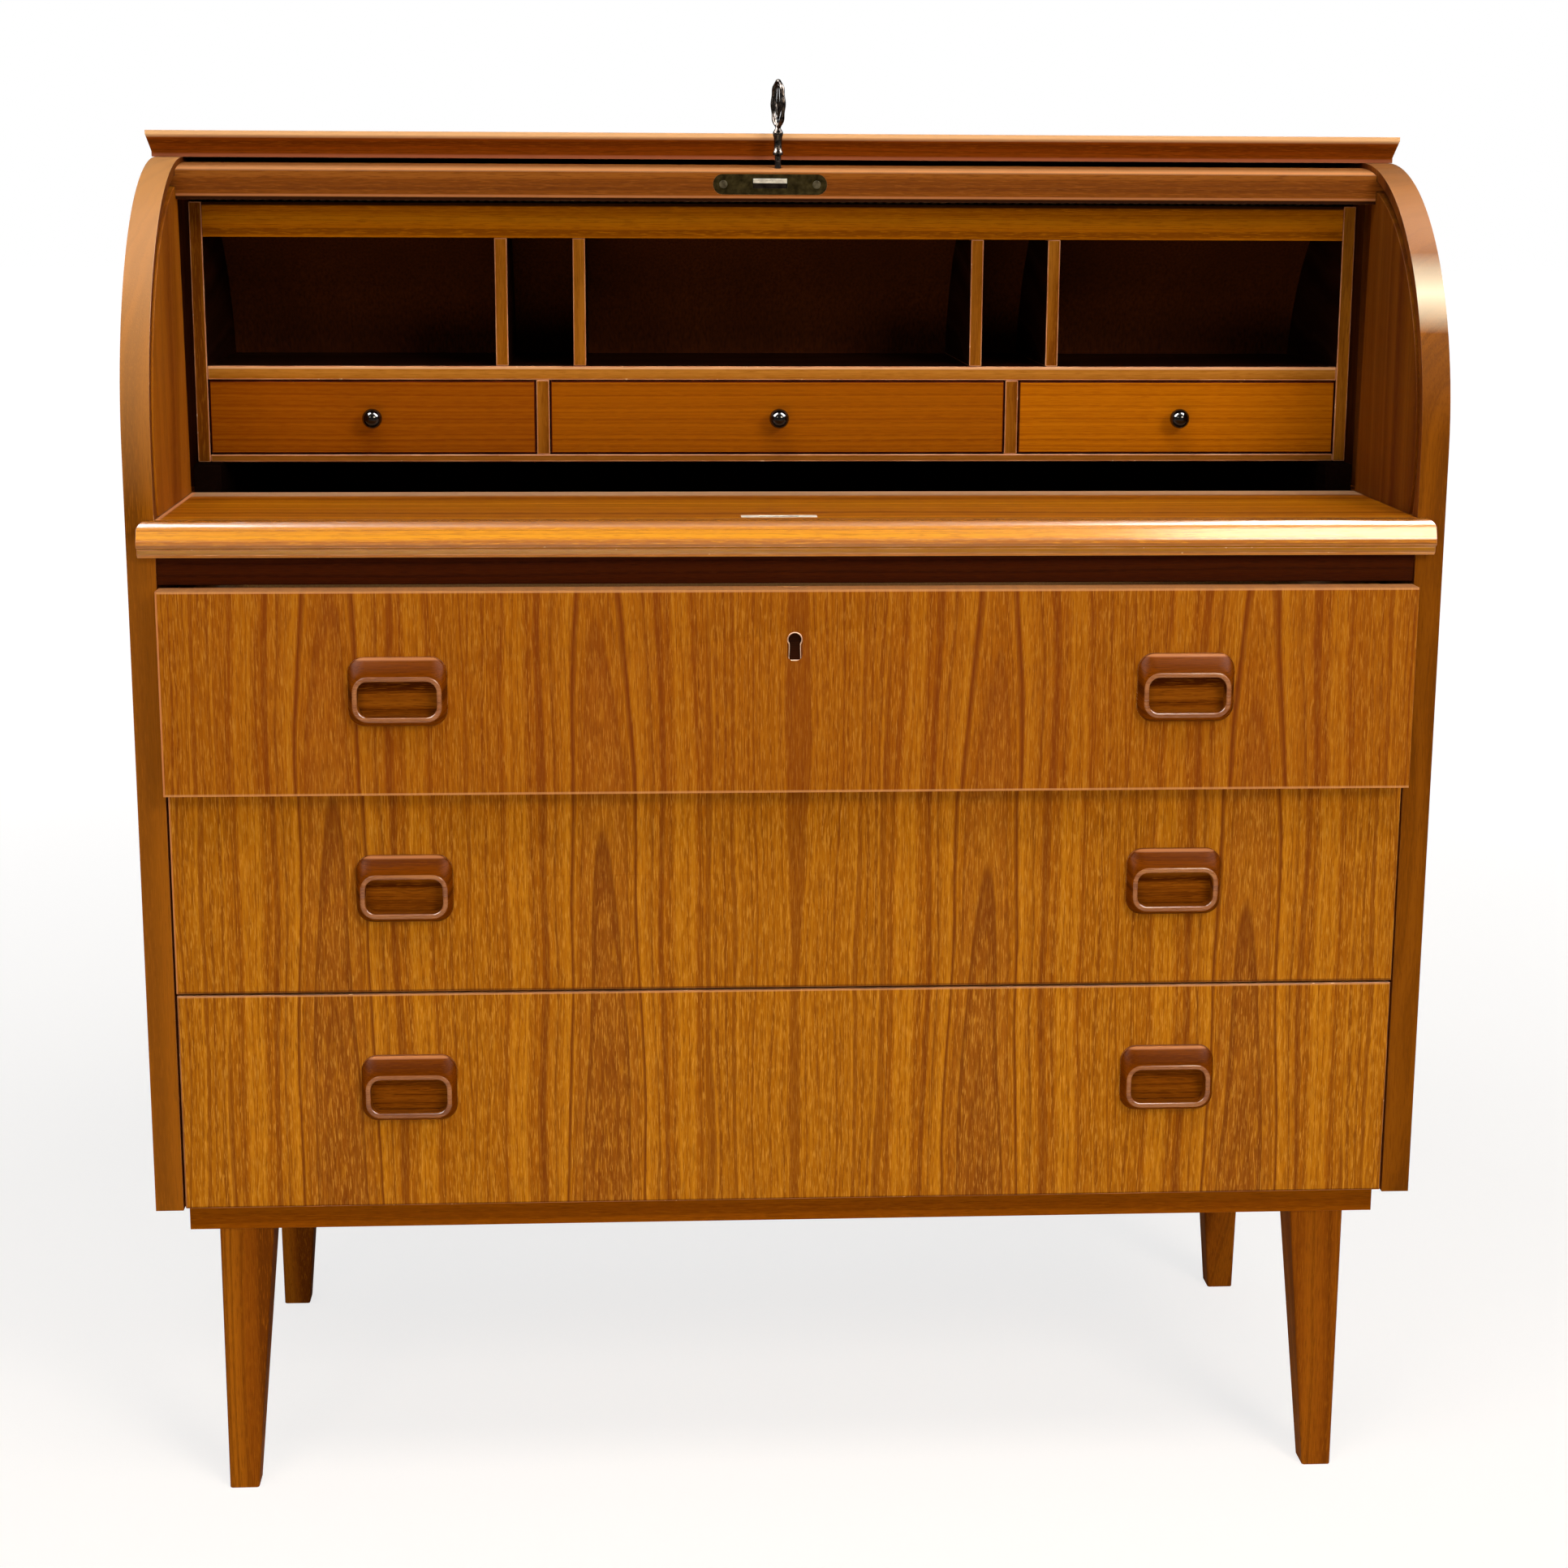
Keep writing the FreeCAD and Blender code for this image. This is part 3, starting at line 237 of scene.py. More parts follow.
def figured_veneer():
    """Flat-cut teak veneer of the drawer fronts: leaves laid mirror-wise, with flames pointing up.

    The leaves meet at set places left and right of the middle. In each leaf the rings are
    circles round a heart that lies a little behind the face and sinks away upwards, so that the
    cut shows them as tall pointed arches. All lengths are in metres."""
    material, tree = new_material("teak_flat_cut_veneer")
    middle_joint, leaf_width = 0.003, 0.245
    across, up = split_place(tree)["X"], split_place(tree)["Z"]
    middle = add(tree, "Math", {0: across, 1: middle_joint}, operation="SUBTRACT")
    side = add(tree, "Math", {0: middle}, operation="ABSOLUTE")
    fold = add(tree, "Math", {0: side, 1: leaf_width}, operation="SUBTRACT")
    fold = add(tree, "Math", {0: fold}, operation="ABSOLUTE")
    # Each leaf to the right was sliced a little later, so its flame stands 30 mm lower
    drop = 0.0
    for joint in (middle_joint - leaf_width, middle_joint, middle_joint + leaf_width):
        past = add(tree, "Math", {0: across, 1: joint}, operation="GREATER_THAN")
        drop = add(tree, "Math", {0: past, 1: 0.03, 2: drop}, operation="MULTIPLY_ADD")
    height = add(tree, "Math", {0: up, 1: drop}, operation="ADD")
    # The plain leaves in the middle and at both ends come from farther out in the log
    plain_to, plain_from, farther_out = 0.068, 0.426, 0.156
    inner_leaf = add(tree, "Math", {0: side, 1: plain_to}, operation="LESS_THAN")
    outer_leaf = add(tree, "Math", {0: side, 1: plain_from}, operation="GREATER_THAN")
    other = add(tree, "Math", {0: inner_leaf, 1: outer_leaf}, operation="ADD")
    # The heart is 9 mm behind the face at the foot of the fronts and 26 mm at their top
    sinking = {"Value": height, "From Min": 0.245, "From Max": 0.745, "To Min": 0.0088, "To Max": 0.0265}
    depth = add(tree, "MapRange", sinking, clamp=False)
    # Slow, middling and quick sways bend the rings sideways: size across, size along, reach
    heart_place = 0.1
    heart = add(tree, "Math", {0: fold, 1: heart_place}, operation="SUBTRACT")
    leaf_place = add(tree, "CombineXYZ", {"X": fold, "Y": other, "Z": height})
    for wide, tall, reach in ((0.045, 0.28, 0.02), (0.012, 0.06, 0.0022), (0.004, 0.014, 0.0004)):
        scale = (1 / wide, 3.0, 1 / tall)
        stretch = add(tree, "Mapping", {"Vector": leaf_place, "Scale": scale})
        sway = add(tree, "TexNoise", {"Vector": stretch, "Scale": 1.0, "Detail": 1.0, "Roughness": 0.5})
        sway = add(tree, "Math", {0: sway, 1: 0.5}, operation="SUBTRACT")
        heart = add(tree, "Math", {0: sway, 1: reach, 2: heart}, operation="MULTIPLY_ADD")
    square = add(tree, "Math", {0: heart, 1: heart}, operation="MULTIPLY")
    deep = add(tree, "Math", {0: depth, 1: depth}, operation="MULTIPLY")
    radius = add(tree, "Math", {0: square, 1: deep}, operation="ADD")
    radius = add(tree, "Math", {0: radius}, operation="SQRT")
    radius = add(tree, "Math", {0: other, 1: farther_out, 2: radius}, operation="MULTIPLY_ADD")
    # Zones of the log from the heart out to 100 mm
    tones = [
        (0.000, "#A0620E"), (0.085, "#9A5A0E"), (0.092, "#864A0C"), (0.195, "#905412"),
        (0.202, "#9A5C10"), (0.255, "#945610"), (0.262, "#9E5E0A"), (0.330, "#AC6C0E"),
        (0.430, "#A8680E"), (0.500, "#9A5A08"), (0.560, "#985808"), (0.640, "#AC6C0C"),
        (0.720, "#9C5C08"), (0.850, "#985A08"), (1.000, "#A0620A"),
    ]
    zone = add(tree, "Math", {0: radius, 1: 1 / 0.1}, operation="MULTIPLY")
    colour = add(tree, "ValToRGB", {"Fac": zone}, ramp=tones)
    # Two families of fine ring lines: mean spacing, threshold, full at, share and colour
    fade = add(tree, "TexNoise", {"Vector": stretched(tree, "Z", (0.16, 0.008)), "Scale": 1.0, "Detail": 2.0})
    fade = add(tree, "MapRange", {"Value": fade, "From Min": 0.36, "From Max": 0.52, "To Min": 0.3})
    for spacing, start, full, most, hue in (
        (0.0012, 0.48, 0.34, 0.45, "#7A4006"),
        (0.0034, 0.42, 0.35, 0.60, "#70380A"),
    ):
        lines = streaks(tree, radius, spacing, start, full, most)
        lines = add(tree, "Math", {0: lines, 1: fade}, operation="MULTIPLY")
        colour = lay_over(tree, lines, colour, hue)
    colour = lay_over(tree, streaks(tree, radius, 0.0045, 0.55, 0.68, 0.5), colour, "#C08018")
    # Short fine pores, then long coarse ones, which alone stand out as relief
    colour, _ = fibres(tree, colour, "Z", "#6E3A06", "#D89C3A", 0.5, 0.012, 0.0008)
    colour, relief = fibres(tree, colour, "Z", "#7A4408", "#C4841E", 0.4, 0.030, 0.0018)
    colour = lay_over(tree, streaks(tree, radius, 0.0090, 0.405, 0.385, 0.5), colour, "#6C3208")
    # The flames' own outlines, in mm from the heart: dark and sharp outside, fading inwards
    farthest, stops = 50, []
    for place, most in ((9.0, 0.6), (14.5, 0.35), (20.0, 0.75), (26.0, 0.4), (31.5, 0.75), (42.0, 0.5)):
        stops += [((place - 1.6) / farthest, 0.0), (place / farthest, most), ((place + 0.6) / farthest, 0.0)]
    reached = add(tree, "Math", {0: radius, 1: 1 / (farthest * MM)}, operation="MULTIPLY")
    arch = add(tree, "ValToRGB", {"Fac": reached}, ramp=stops)
    colour = lay_over(tree, arch, colour, "#602808")
    # Painted shade darkens the top front under the slide's lip, and the middle front a little; thin strips
    # along the edges: painted highlights on the tops, the left sides and the top front's foot, and painted
    # shade in the gaps at the feet of the other fronts
    edges = [(0.574, 0.8, "#702A00", 0.32, 0.001), (0.416, 0.574, "#6A3000", 0.1, 0.001)]
    for level in ("top", "middle", "bottom"):
        low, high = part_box(f"drawer_{level}_front")
        foot = ("#C8905C", 0.6) if level == "top" else ("#4A1E04", 0.6)
        edges += [(low[2] - 0.001, low[2] + 0.0016, *foot, 0.0003)]
        edges += [(high[2] - 0.0016, high[2] + 0.001, "#D09A68", 0.6, 0.0003)]
        edges += [(low[0] - 0.001, low[0] + 0.0012, "#B87848", 0.7, 0.0002, "X")]
    colour = strips(tree, colour, edges)
    satin = add(tree, "MapRange", {"Value": relief, "To Min": 0.6, "To Max": 0.46})
    finish_surface(tree, colour, satin, relief, bump=0.25, depth=0.00015, Specular_IOR_Level=0.04)
    return material


def plain_wood(name, along, tones, rough=0.6, shine=0.3):
    """Pale or stained wood with close, even grain."""
    material, tree = new_material(name)
    grain = stretched(tree, along, (0.06, 0.002))
    fibre = add(tree, "TexNoise", {"Vector": grain, "Scale": 1.0, "Detail": 4.0, "Roughness": 0.6})
    large = stretched(tree, along, (0.3, 0.05))
    cloud = add(tree, "TexNoise", {"Vector": large, "Scale": 1.0, "Detail": 2.0})
    colour = add(tree, "ValToRGB", {"Fac": fibre}, ramp=[(0.3, tones[0]), (0.7, tones[1])])
    shade = add(tree, "MapRange", {"Value": cloud, "From Min": 0.35, "From Max": 0.65, "To Max": 0.35})
    colour = lay_over(tree, shade, colour, tones[0])
    finish_surface(tree, colour, rough, fibre, bump=0.2, depth=0.0001, Specular_IOR_Level=shine)
    return material


def metal(name, tones, rough, patch=0.006):
    """Metal with fine scratches and darker tarnish in patches."""
    material, tree = new_material(name)
    scratches = stretched(tree, "X", (0.02, 0.0006))
    marks = add(tree, "TexNoise", {"Vector": scratches, "Scale": 1.0, "Detail": 3.0, "Roughness": 0.6})
    patches = stretched(tree, "X", (patch, patch))
    tarnish = add(tree, "TexNoise", {"Vector": patches, "Scale": 1.0, "Detail": 4.0, "Roughness": 0.6})
    colour = add(tree, "ValToRGB", {"Fac": tarnish}, ramp=[(0.35, tones[0]), (0.65, tones[1])])
    span = {"Value": marks, "From Min": 0.3, "From Max": 0.7, "To Min": rough - 0.08, "To Max": rough + 0.12}
    dull = add(tree, "MapRange", span)
    finish_surface(tree, colour, dull, marks, bump=0.15, depth=0.00005, Metallic=1.0)
    return material


def lacquer():
    """Black turned knob under a thick gloss lacquer, with faint dust and brush marks."""
    material, tree = new_material("black_gloss_lacquer")
    specks = stretched(tree, "Y", (0.002, 0.002))
    dust = add(tree, "TexNoise", {"Vector": specks, "Scale": 1.0, "Detail": 3.0})
    colour = add(tree, "ValToRGB", {"Fac": dust}, ramp=[(0.35, "#020102"), (0.7, "#080606")])
    span = {"Value": dust, "From Min": 0.3, "From Max": 0.7, "To Min": 0.1, "To Max": 0.2}
    finish_surface(
        tree, colour, add(tree, "MapRange", span), dust, bump=0.04, depth=0.00005,
        Specular_IOR_Level=0.1, Coat_Weight=1.0, Coat_Roughness=0.03,
    )
    return material


def canvas():
    """Woven linen glued behind the slats: a plain weave, drawn far coarser than the real threads,
    which are too fine to show. The wave repeats every 2 pi / 20 of its scaled place, 7.5 mm here."""
    material, tree = new_material("linen_canvas")
    place = add(tree, "TexCoord", out="Object")
    inputs = {"Vector": place, "Scale": 1 / 0.024, "Distortion": 0.4}
    waves = [add(tree, "TexWave", inputs, out="Fac", bands_direction=direction) for direction in ("X", "Z")]
    weave = add(tree, "Math", {0: waves[0], 1: waves[1]}, operation="MULTIPLY")
    colour = add(tree, "ValToRGB", {"Fac": weave}, ramp=[(0.0, "#6E5A3C"), (0.8, "#B8A07A")])
    finish_surface(tree, colour, 0.9, weave, bump=0.4, depth=0.0003, Sheen_Weight=0.2)
    return material


# Flat-cut teak veneer: golden ground with tall dark flames, nearly dull
VENEER = figured_veneer()
# Slats of the tambour: level grain, golden brown and quiet
LONG = teak("teak_long_grain", "X", ("#7C4400", "#A86400", "#B87406"), ring=0.0015, wander=0.005, line=0.35)
# Fronts of the unit's shelf and base: a painted highlight along the shelf's upper edge, and painted shade
# darkening the base
SHELF = teak(
    "teak_unit_shelf", "X", ("#84500E", "#9C641C", "#B0782E"), ring=0.0015, wander=0.005, line=0.35,
    bands=(
        (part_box("unit_shelf")[1][2] - 0.0022, 1.0, "#E8BC90", 0.85, 0.0006),
        (0.7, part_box("unit_base")[1][2] + 0.002, "#5E3414", 0.45, 0.001),
    ),
)
# Narrow upright teak boards of the unit: even lines from top to bottom
UPRIGHT = teak(
    "teak_upright_grain", "Z", ("#643404", "#84500E", "#98621A"), pith=(0.6, -0.5), ring=0.003, line=0.3,
)
# Linings beside the writing surface: the left one bright golden, the right one in shade
CHEEK = teak(
    "teak_cheeks", "Z", ("#824204", "#A6600E", "#BA721A"), pith=(0.6, -0.5), ring=0.004, line=0.35,
    bands=((0.0, 0.6, "#461C00", 0.55, 0.01, "X"),),
)
# Side panels: browner and duller, with quiet lines that run up into the round
SIDE = teak("teak_side_panels", "Z", ("#5E2E08", "#7C4210", "#92541A"), pith=(0.6, -0.5), line=0.4)
# Front edges of the sides: solid lipping, brown below. Where the left curves up it is tan, partly wear
# and partly painted light where it faces up; the right is painted paler at the top of its curve, red-brown
# below by painted shade, and has one painted highlight patch
RIM = {
    place: teak(
        f"teak_{place}_rim", "Z", ("#5E3404", "#7A4604", "#8E540C"), pith=(0.6, -0.5), ring=0.003, line=0.4,
        rough=0.38, bands=bands, Specular_IOR_Level=0.03,
    )
    for place, bands in (
        ("left", ((0.94, 1.2, "#F8BC7C", 0.75, 0.16), (0.1, 0.76, "#A0601C", 0.3, 0.004))),
        ("right", ((0.97, 1.03, "#C08858", 0.7, 0.02), (0.922, 0.952, "#FFF6E0", 0.9, 0.014),
                   (0.1, 0.88, "#562400", 0.3, 0.02))),
    )
}
# Writing surface: worn oil finish, fine level grain, strong orange-gold, paler along its left edge, with
# a painted highlight along its rear edge
SLIDE = teak(
    "teak_writing_slide", "X", ("#783200", "#B46A04", "#D8900E"), ring=0.0016, wander=0.012, rough=0.34,
    line=0.6,
    bands=(
        (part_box("writing_slide")[1][1] - 0.028, 1.0, "#E4C8AA", 0.6, 0.006, "Y"),
        (-0.5, -0.4600, "#E8A878", 1.0, 0.0006, "X"),
    ),
    Specular_IOR_Level=0.05,
)
# Solid lip of the slide: the palest, most rubbed wood, with the soft gloss of many hands. Its top is
# darker, leaving the facet below bright as a painted highlight; a dark line under the nose and a
# darker step below it are painted shade, and a pinkish strip at its foot is a painted highlight
LIP = teak(
    "teak_slide_lip", "X", ("#B06800", "#D88C00", "#F0A818"), ring=0.0012, wander=0.006, rough=0.24, line=0.3,
    bands=(
        (0.7700, 0.8, "#A05C00", 0.75, 0.0010), (0.7492, 0.7552, "#8A5C10", 0.75, 0.0006),
        (0.7552, 0.7572, "#7A4600", 0.8, 0.0005), (0.7, 0.7490, "#C48A58", 0.5, 0.0004),
    ),
    Specular_IOR_Level=0.5, Coat_Weight=0.9, Coat_Roughness=0.12,
)
# Small drawer fronts: dark gold with close level grain, each with its own tones; painted shade on the
# left front and painted light on the right one make them lighter to the right
SMALL = {
    place: teak("teak_small_front_" + place, "X", tones, ring=0.0004, wander=0.006, line=0.3)
    for place, tones in (
        ("left", ("#783A00", "#864600", "#905004")),
        ("middle", ("#804200", "#8E4E00", "#9A5804")),
        ("right", ("#904E00", "#A66000", "#B26A06")),
    )
}
# Rail over the pigeonholes: golden brown, in the lead rail's shadow along its top
UNIT_RAIL = teak(
    "teak_unit_rail", "X", ("#7C4400", "#A86400", "#B87406"), ring=0.0015, wander=0.005, line=0.35,
    bands=((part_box("unit_top_rail")[1][2] - 0.0026, 1.2, "#120602", 0.95, 0.0006),),
)
# Lead rail: dark teak, red-brown and plain, with a painted sheen where it curves over, a black line of
# painted shadow and a thin pale one along its foot; its outer face behind the curve is an even brown,
# where the painted sheen stops
RAIL = teak(
    "teak_lead_rail", "X", ("#52280A", "#743F10", "#86501C"), ring=0.002, wander=0.008, line=0.35,
    bands=(
        (1.0225, 1.2, "#F0AE76", 0.85, 0.0006), (0.9, 1.0026, "#1A0802", 0.95, 0.0004),
        (1.0028, 1.0044, "#B07850", 0.6, 0.0004),
        (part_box("lead_rail")[0][1] + 0.016, 1.0, "#804A10", 0.88, 0.008, "Y"),
    ),
)
# Top board: red-brown front, with painted highlights along its upper and lower edges
TOP = teak(
    "teak_top_board", "X", ("#522400", "#743404", "#88460C"), ring=0.003, wander=0.012, line=0.45,
    bands=((1.0476, 1.06, "#F0C494", 0.85, 0.0012), (1.0300, 1.0345, "#A06044", 0.8, 0.0008)),
)
# The same board's upper face, ends and back: dusty brown, its gloss gone
BOARD = teak("teak_top_face", "X", ("#5A2C08", "#7A4416", "#905626"), rough=0.5, line=0.45)
# Legs: solid teak, sawn square and planed, warm and even
LEG = teak(
    "teak_legs", "Z", ("#643206", "#86480A", "#9C5C10"), pith=(0.2, -0.3), ring=0.004, wander=0.012,
    line=0.45,
)
# Plinth rails: the same wood, a little shaded under the case
PLINTH = teak("teak_plinth", "X", ("#643200", "#864602", "#9A5806"), wander=0.012, line=0.3)
# Pulls: close-grained solid teak, nearly dull, darker and redder than the fronts, with a painted highlight
# along the top
HANDLE = teak(
    "teak_solid_pulls", "X", ("#4C2000", "#693200", "#783C02"), ring=0.0016, wander=0.006, rough=0.3,
    line=0.35,
    bands=[
        (top - 0.0020, top + 0.01, "#D09060", 0.7, 0.0006)
        for top in (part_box(f"drawer_{level}_pulls")[1][2] for level in ("top", "middle", "bottom"))
    ],
)
# The rim of a pull, where fingers wear it pale and glossy
BEAD = teak(
    "teak_worn_rims", "X", ("#6E3A18", "#8A5228", "#A46C3E"), ring=0.002, rough=0.24, line=0.2,
    Specular_IOR_Level=0.5, Coat_Weight=0.4, Coat_Roughness=0.12,
)
# The hollow of a pull: dull brown with strong dark lines, darkened as painted shade in the hollow
CUP = teak(
    "teak_pull_cups", "X", ("#461C00", "#743C04", "#92540E"), ring=0.0016, wander=0.006, rough=0.5, line=0.6,
)
# Eased corners of most teak pieces: rubbed pale and pinkish, with a few chips
EDGE = worn_edge("teak_eased_edges", ("#A86A42", "#BE8056", "#D49C72"), "#F0D4B0")
# Corners of the big fronts, the sides and the plinth: thin solid lipping, rubbed less than the rest
LIPPING = worn_edge("teak_lipping", ("#6A3A14", "#8A5222", "#A66C3C"), "#D0A070")
# The rail under the writing slide: teak that is always in shade, deep red-brown
SHADE = teak(
    "teak_shaded_rail", "X", ("#240A00", "#3A1400", "#461C02"), ring=0.003, wander=0.01,
    Specular_IOR_Level=0.04,
)
# Edges of the small fronts: a dark outline round each front, painted shade in the gaps
OUTLINE = worn_edge("small_front_gap_shade", ("#340A00", "#461404", "#5E220A"), "#6A3C18", 0.02)
# Inner faces of the pigeonholes and the keyhole's well: near black-brown, painted shade so the holes
# look deep
DARK = teak("teak_in_shade", "X", ("#160600", "#220C02", "#2C1204"), ring=0.004, Specular_IOR_Level=0.03)
# Back of the unit and the tambour's rear guides: plywood, brown and dull, dark as painted shade
BACK = plain_wood("plywood_painted_shade", "Z", ("#301404", "#4E2408"), rough=0.8, shine=0.05)
# Drawer boxes, runners and dowels: pale hardwood, straight and plain
BEECH = plain_wood("beech", "Y", ("#A67848", "#C49A68"))
# The same hardwood with rubbed, slightly paler corners
RUBBED = plain_wood("beech_rubbed_edges", "Y", ("#B88E5E", "#D2AC7C"), rough=0.5)
# Bearers, keepers and arms of the slide, and the back panel's inner face: beech darkened near black as
# painted shade, so that nothing shows under the unit
SHADOW_BEECH = plain_wood("beech_painted_shade", "Y", ("#0C0604", "#160C08"), rough=0.9, shine=0.0)
# The bottom board and the rest of the back panel: pale rotary-cut plywood
PLY = plain_wood("birch_plywood", "Z", ("#8C6238", "#A87C4C"))
# Lock plate: brass gone dark green-brown, dull with bright scratches
BRASS = metal("aged_brass", ("#1C170A", "#38301A"), 0.42)
# Keyhole liner: brass worn pale and a little pink
LINER = metal("worn_brass", ("#C89C80", "#E8C4A8"), 0.4)
# Bolts and strike: bright steel, finely scratched
STEEL = metal("bright_steel", ("#C8C0B0", "#F0EADA"), 0.34)
# Screw heads: steel dulled to grey-brown
SCREW = metal("dull_steel", ("#3E382A", "#665E4A"), 0.38)
# Lock cases: dark iron
IRON = metal("dark_iron", ("#120E0C", "#2A2420"), 0.45)
# Key: nickel-plated iron, dark in its hollows and shiny where it is held
NICKEL = metal("nickel_plated_iron", ("#0C0A0A", "#564E48"), 0.2, patch=0.004)
# Knobs: black gloss lacquer that mirrors the lamps as small sharp lights
BLACK = lacquer()
# Cloth behind the slats: coarse, dull, tan
CANVAS = canvas()


# Pieces


def shown(name, data):
    """A new object in the scene, at its origin."""
    thing = bpy.data.objects.new(name, data)
    bpy.context.scene.collection.objects.link(thing)
    return thing


def dressed(node, material, edge=None, width=1.0, walls=None):
    """A merged copy of a CAD node whose sharp edges are eased, in place of the node.

    width is that of the eased edges, in mm. Faces that don't look to the front take the material
    of the walls, if there is one."""
    source = frame["nodes"][node]
    mesh = source.data.copy()
    mesh.name = node
    work = bmesh.new()
    work.from_mesh(mesh)
    bmesh.ops.remove_doubles(work, verts=work.verts, dist=1e-6)
    bmesh.ops.dissolve_limit(work, angle_limit=math.radians(0.5), verts=work.verts, edges=work.edges)
    work.to_mesh(mesh)
    work.free()
    mesh.materials.clear()
    for finish in (material, edge or material, walls or material):
        mesh.materials.append(finish)
    normals = np.empty(len(mesh.polygons) * 3, dtype=np.float32)
    mesh.polygons.foreach_get("normal", normals)
    least_forward = 0.03
    turned_away = normals.reshape(-1, 3)[:, 1] > -least_forward
    mesh.polygons.foreach_set("material_index", np.where(turned_away, 2, 0).astype(np.int32))
    mesh.shade_smooth()
    mesh.set_sharp_from_angle(angle=math.radians(30))
    piece = shown("dressed_" + node, mesh)
    if width:
        ease = piece.modifiers.new("eased_edges", "BEVEL")
        ease.width = width * MM
        ease.segments = 2
        ease.limit_method = "ANGLE"
        ease.angle_limit = math.radians(40)
        ease.harden_normals = True
        ease.material = 1
        ease.use_clamp_overlap = True
    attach(piece, node_body(node))
    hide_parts(node)


def node_body(node):
    """The body that a CAD node rides on."""
    for name, empty in frame["bodies"].items():
        if frame["nodes"][node].parent is empty:
            return name


def dress_all(table):
    """Dresses each node of a table of (nodes, material, edge material, edge width, walls)."""
    for nodes, *finish in table:
        for node in nodes.split():
            dressed(node, *finish)


dress_all(
    [
        ("side_panel_left", RIM["left"], LIPPING, 1.2, SIDE),
        ("side_panel_right", RIM["right"], LIPPING, 1.2, SIDE),
        ("side_cheeks", CHEEK, None, 0.6),
        ("tambour_rear_guides unit_back", BACK, None, 0),
        ("top_board", TOP, EDGE, 0.8, BOARD),
        ("bottom_board", PLY, None, 0.4),
        # The back panel's front faces and the slide's bearers, keepers and arms: painted shade under the unit
        ("back_panel", SHADOW_BEECH, None, 0.4, PLY),
        ("front_rail", SHADE, None, 0.5),
        ("slide_bearers slide_keepers slide_arms", SHADOW_BEECH, None, 0.5),
        ("drawer_runners", BEECH, RUBBED, 0.5),
        ("case_dowels leg_dowels", BEECH, None, 0),
        ("plinth_frame", PLINTH, LIPPING, 0.6),
        ("leg_front_left leg_front_right leg_rear_left leg_rear_right", LEG, None, 0.8),
        # Faces of the unit that don't look to the front, and its top panel, are DARK: painted shade
        ("unit_side_left unit_side_right", UPRIGHT, EDGE, 0.8, DARK),
        ("pigeonhole_dividers unit_drawer_dividers", UPRIGHT, EDGE, 0.8, DARK),
        ("unit_top_rail", UNIT_RAIL, None, 0.8, DARK),
        ("unit_shelf unit_base", SHELF, EDGE, 1.0, DARK),
        ("unit_top_panel", DARK, None, 0.4),
        ("small_drawer_left_front", SMALL["left"], OUTLINE, 1.0),
        ("small_drawer_middle_front", SMALL["middle"], OUTLINE, 1.0),
        ("small_drawer_right_front", SMALL["right"], OUTLINE, 1.0),
        ("small_drawer_left_box small_drawer_middle_box small_drawer_right_box", BEECH, RUBBED, 0.5),
        ("writing_slide", SLIDE, EDGE, 0.3),
        ("slide_lip", LIP, EDGE, 0.3),
        ("lead_rail", RAIL, EDGE, 0.8),
        ("tambour_slats", LONG, EDGE, 0.3),
        ("tambour_canvas", CANVAS, None, 0),
        ("lock_plate", BRASS, None, 0.15),
        ("rail_lock_case drawer_lock_case", IRON, None, 0.3),
        ("lock_plate_screws", SCREW, None, 0.2),
        ("rail_lock_bolt drawer_lock_bolt lock_strike", STEEL, None, 0.2),
        ("drawer_top_front drawer_middle_front drawer_bottom_front", VENEER, LIPPING, 0.9),
        ("drawer_top_box drawer_middle_box drawer_bottom_box", BEECH, RUBBED, 0.6),
    ]
)


def make_piece(name, body, points, faces, materials, replaced, shares=None, sharp=50):
    """A mesh in the desk's frame that rides on a body and takes the place of the CAD node replaced.

    shares gives each face its material; edges sharper than the angle sharp stay sharp."""
    mesh = bpy.data.meshes.new(name)
    mesh.from_pydata(points.tolist(), [], faces)
    for material in materials:
        mesh.materials.append(material)
    if shares is not None:
        mesh.polygons.foreach_set("material_index", np.asarray(shares, dtype=np.int32))
    work = bmesh.new()
    work.from_mesh(mesh)
    bmesh.ops.recalc_face_normals(work, faces=work.faces)
    work.to_mesh(mesh)
    work.free()
    mesh.shade_smooth()
    mesh.set_sharp_from_angle(angle=math.radians(sharp))
    piece = shown(name, mesh)
    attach(piece, body)
    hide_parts(replaced)


def skin(rings):
    """Points and faces of a skin over rings of points, closed by a flat face at both ends.

    rings is an array (ring, point, 3); ring r and ring r + 1 are joined by a band of quads."""
    count, around = rings.shape[:2]
    index = np.arange(count * around).reshape(count, around)
    ahead = np.roll(index, -1, axis=1)
    quads = np.stack([index[:-1], ahead[:-1], ahead[1:], index[1:]], axis=-1).reshape(-1, 4)
    faces = quads.tolist() + [index[0][::-1].tolist(), index[-1].tolist()]
    return rings.reshape(-1, 3), faces


def gathered(parts):
    """One list of points and one of faces from several pairs of them."""
    points, faces, start = [], [], 0
    for some, joined in parts:
        points.append(some)
        faces += [[start + i for i in face] for face in joined]
        start += len(some)
    return np.concatenate(points), faces


def round_outline(half_wide, half_high, corner):
    """A rectangle with round corners as quarter circles, with the outward direction at each point."""
    steps = 8
    turn = np.radians(np.linspace(0, 90, steps))
    angles = (turn[None, :] + np.radians([0, 90, 180, 270])[:, None]).ravel()
    sides = np.repeat([[1, 1], [-1, 1], [-1, -1], [1, -1]], steps, axis=0)
    away = np.stack([np.cos(angles), np.sin(angles)], axis=1)
    middle = sides * np.array([half_wide - corner, half_high - corner])
    return middle + corner * away, away


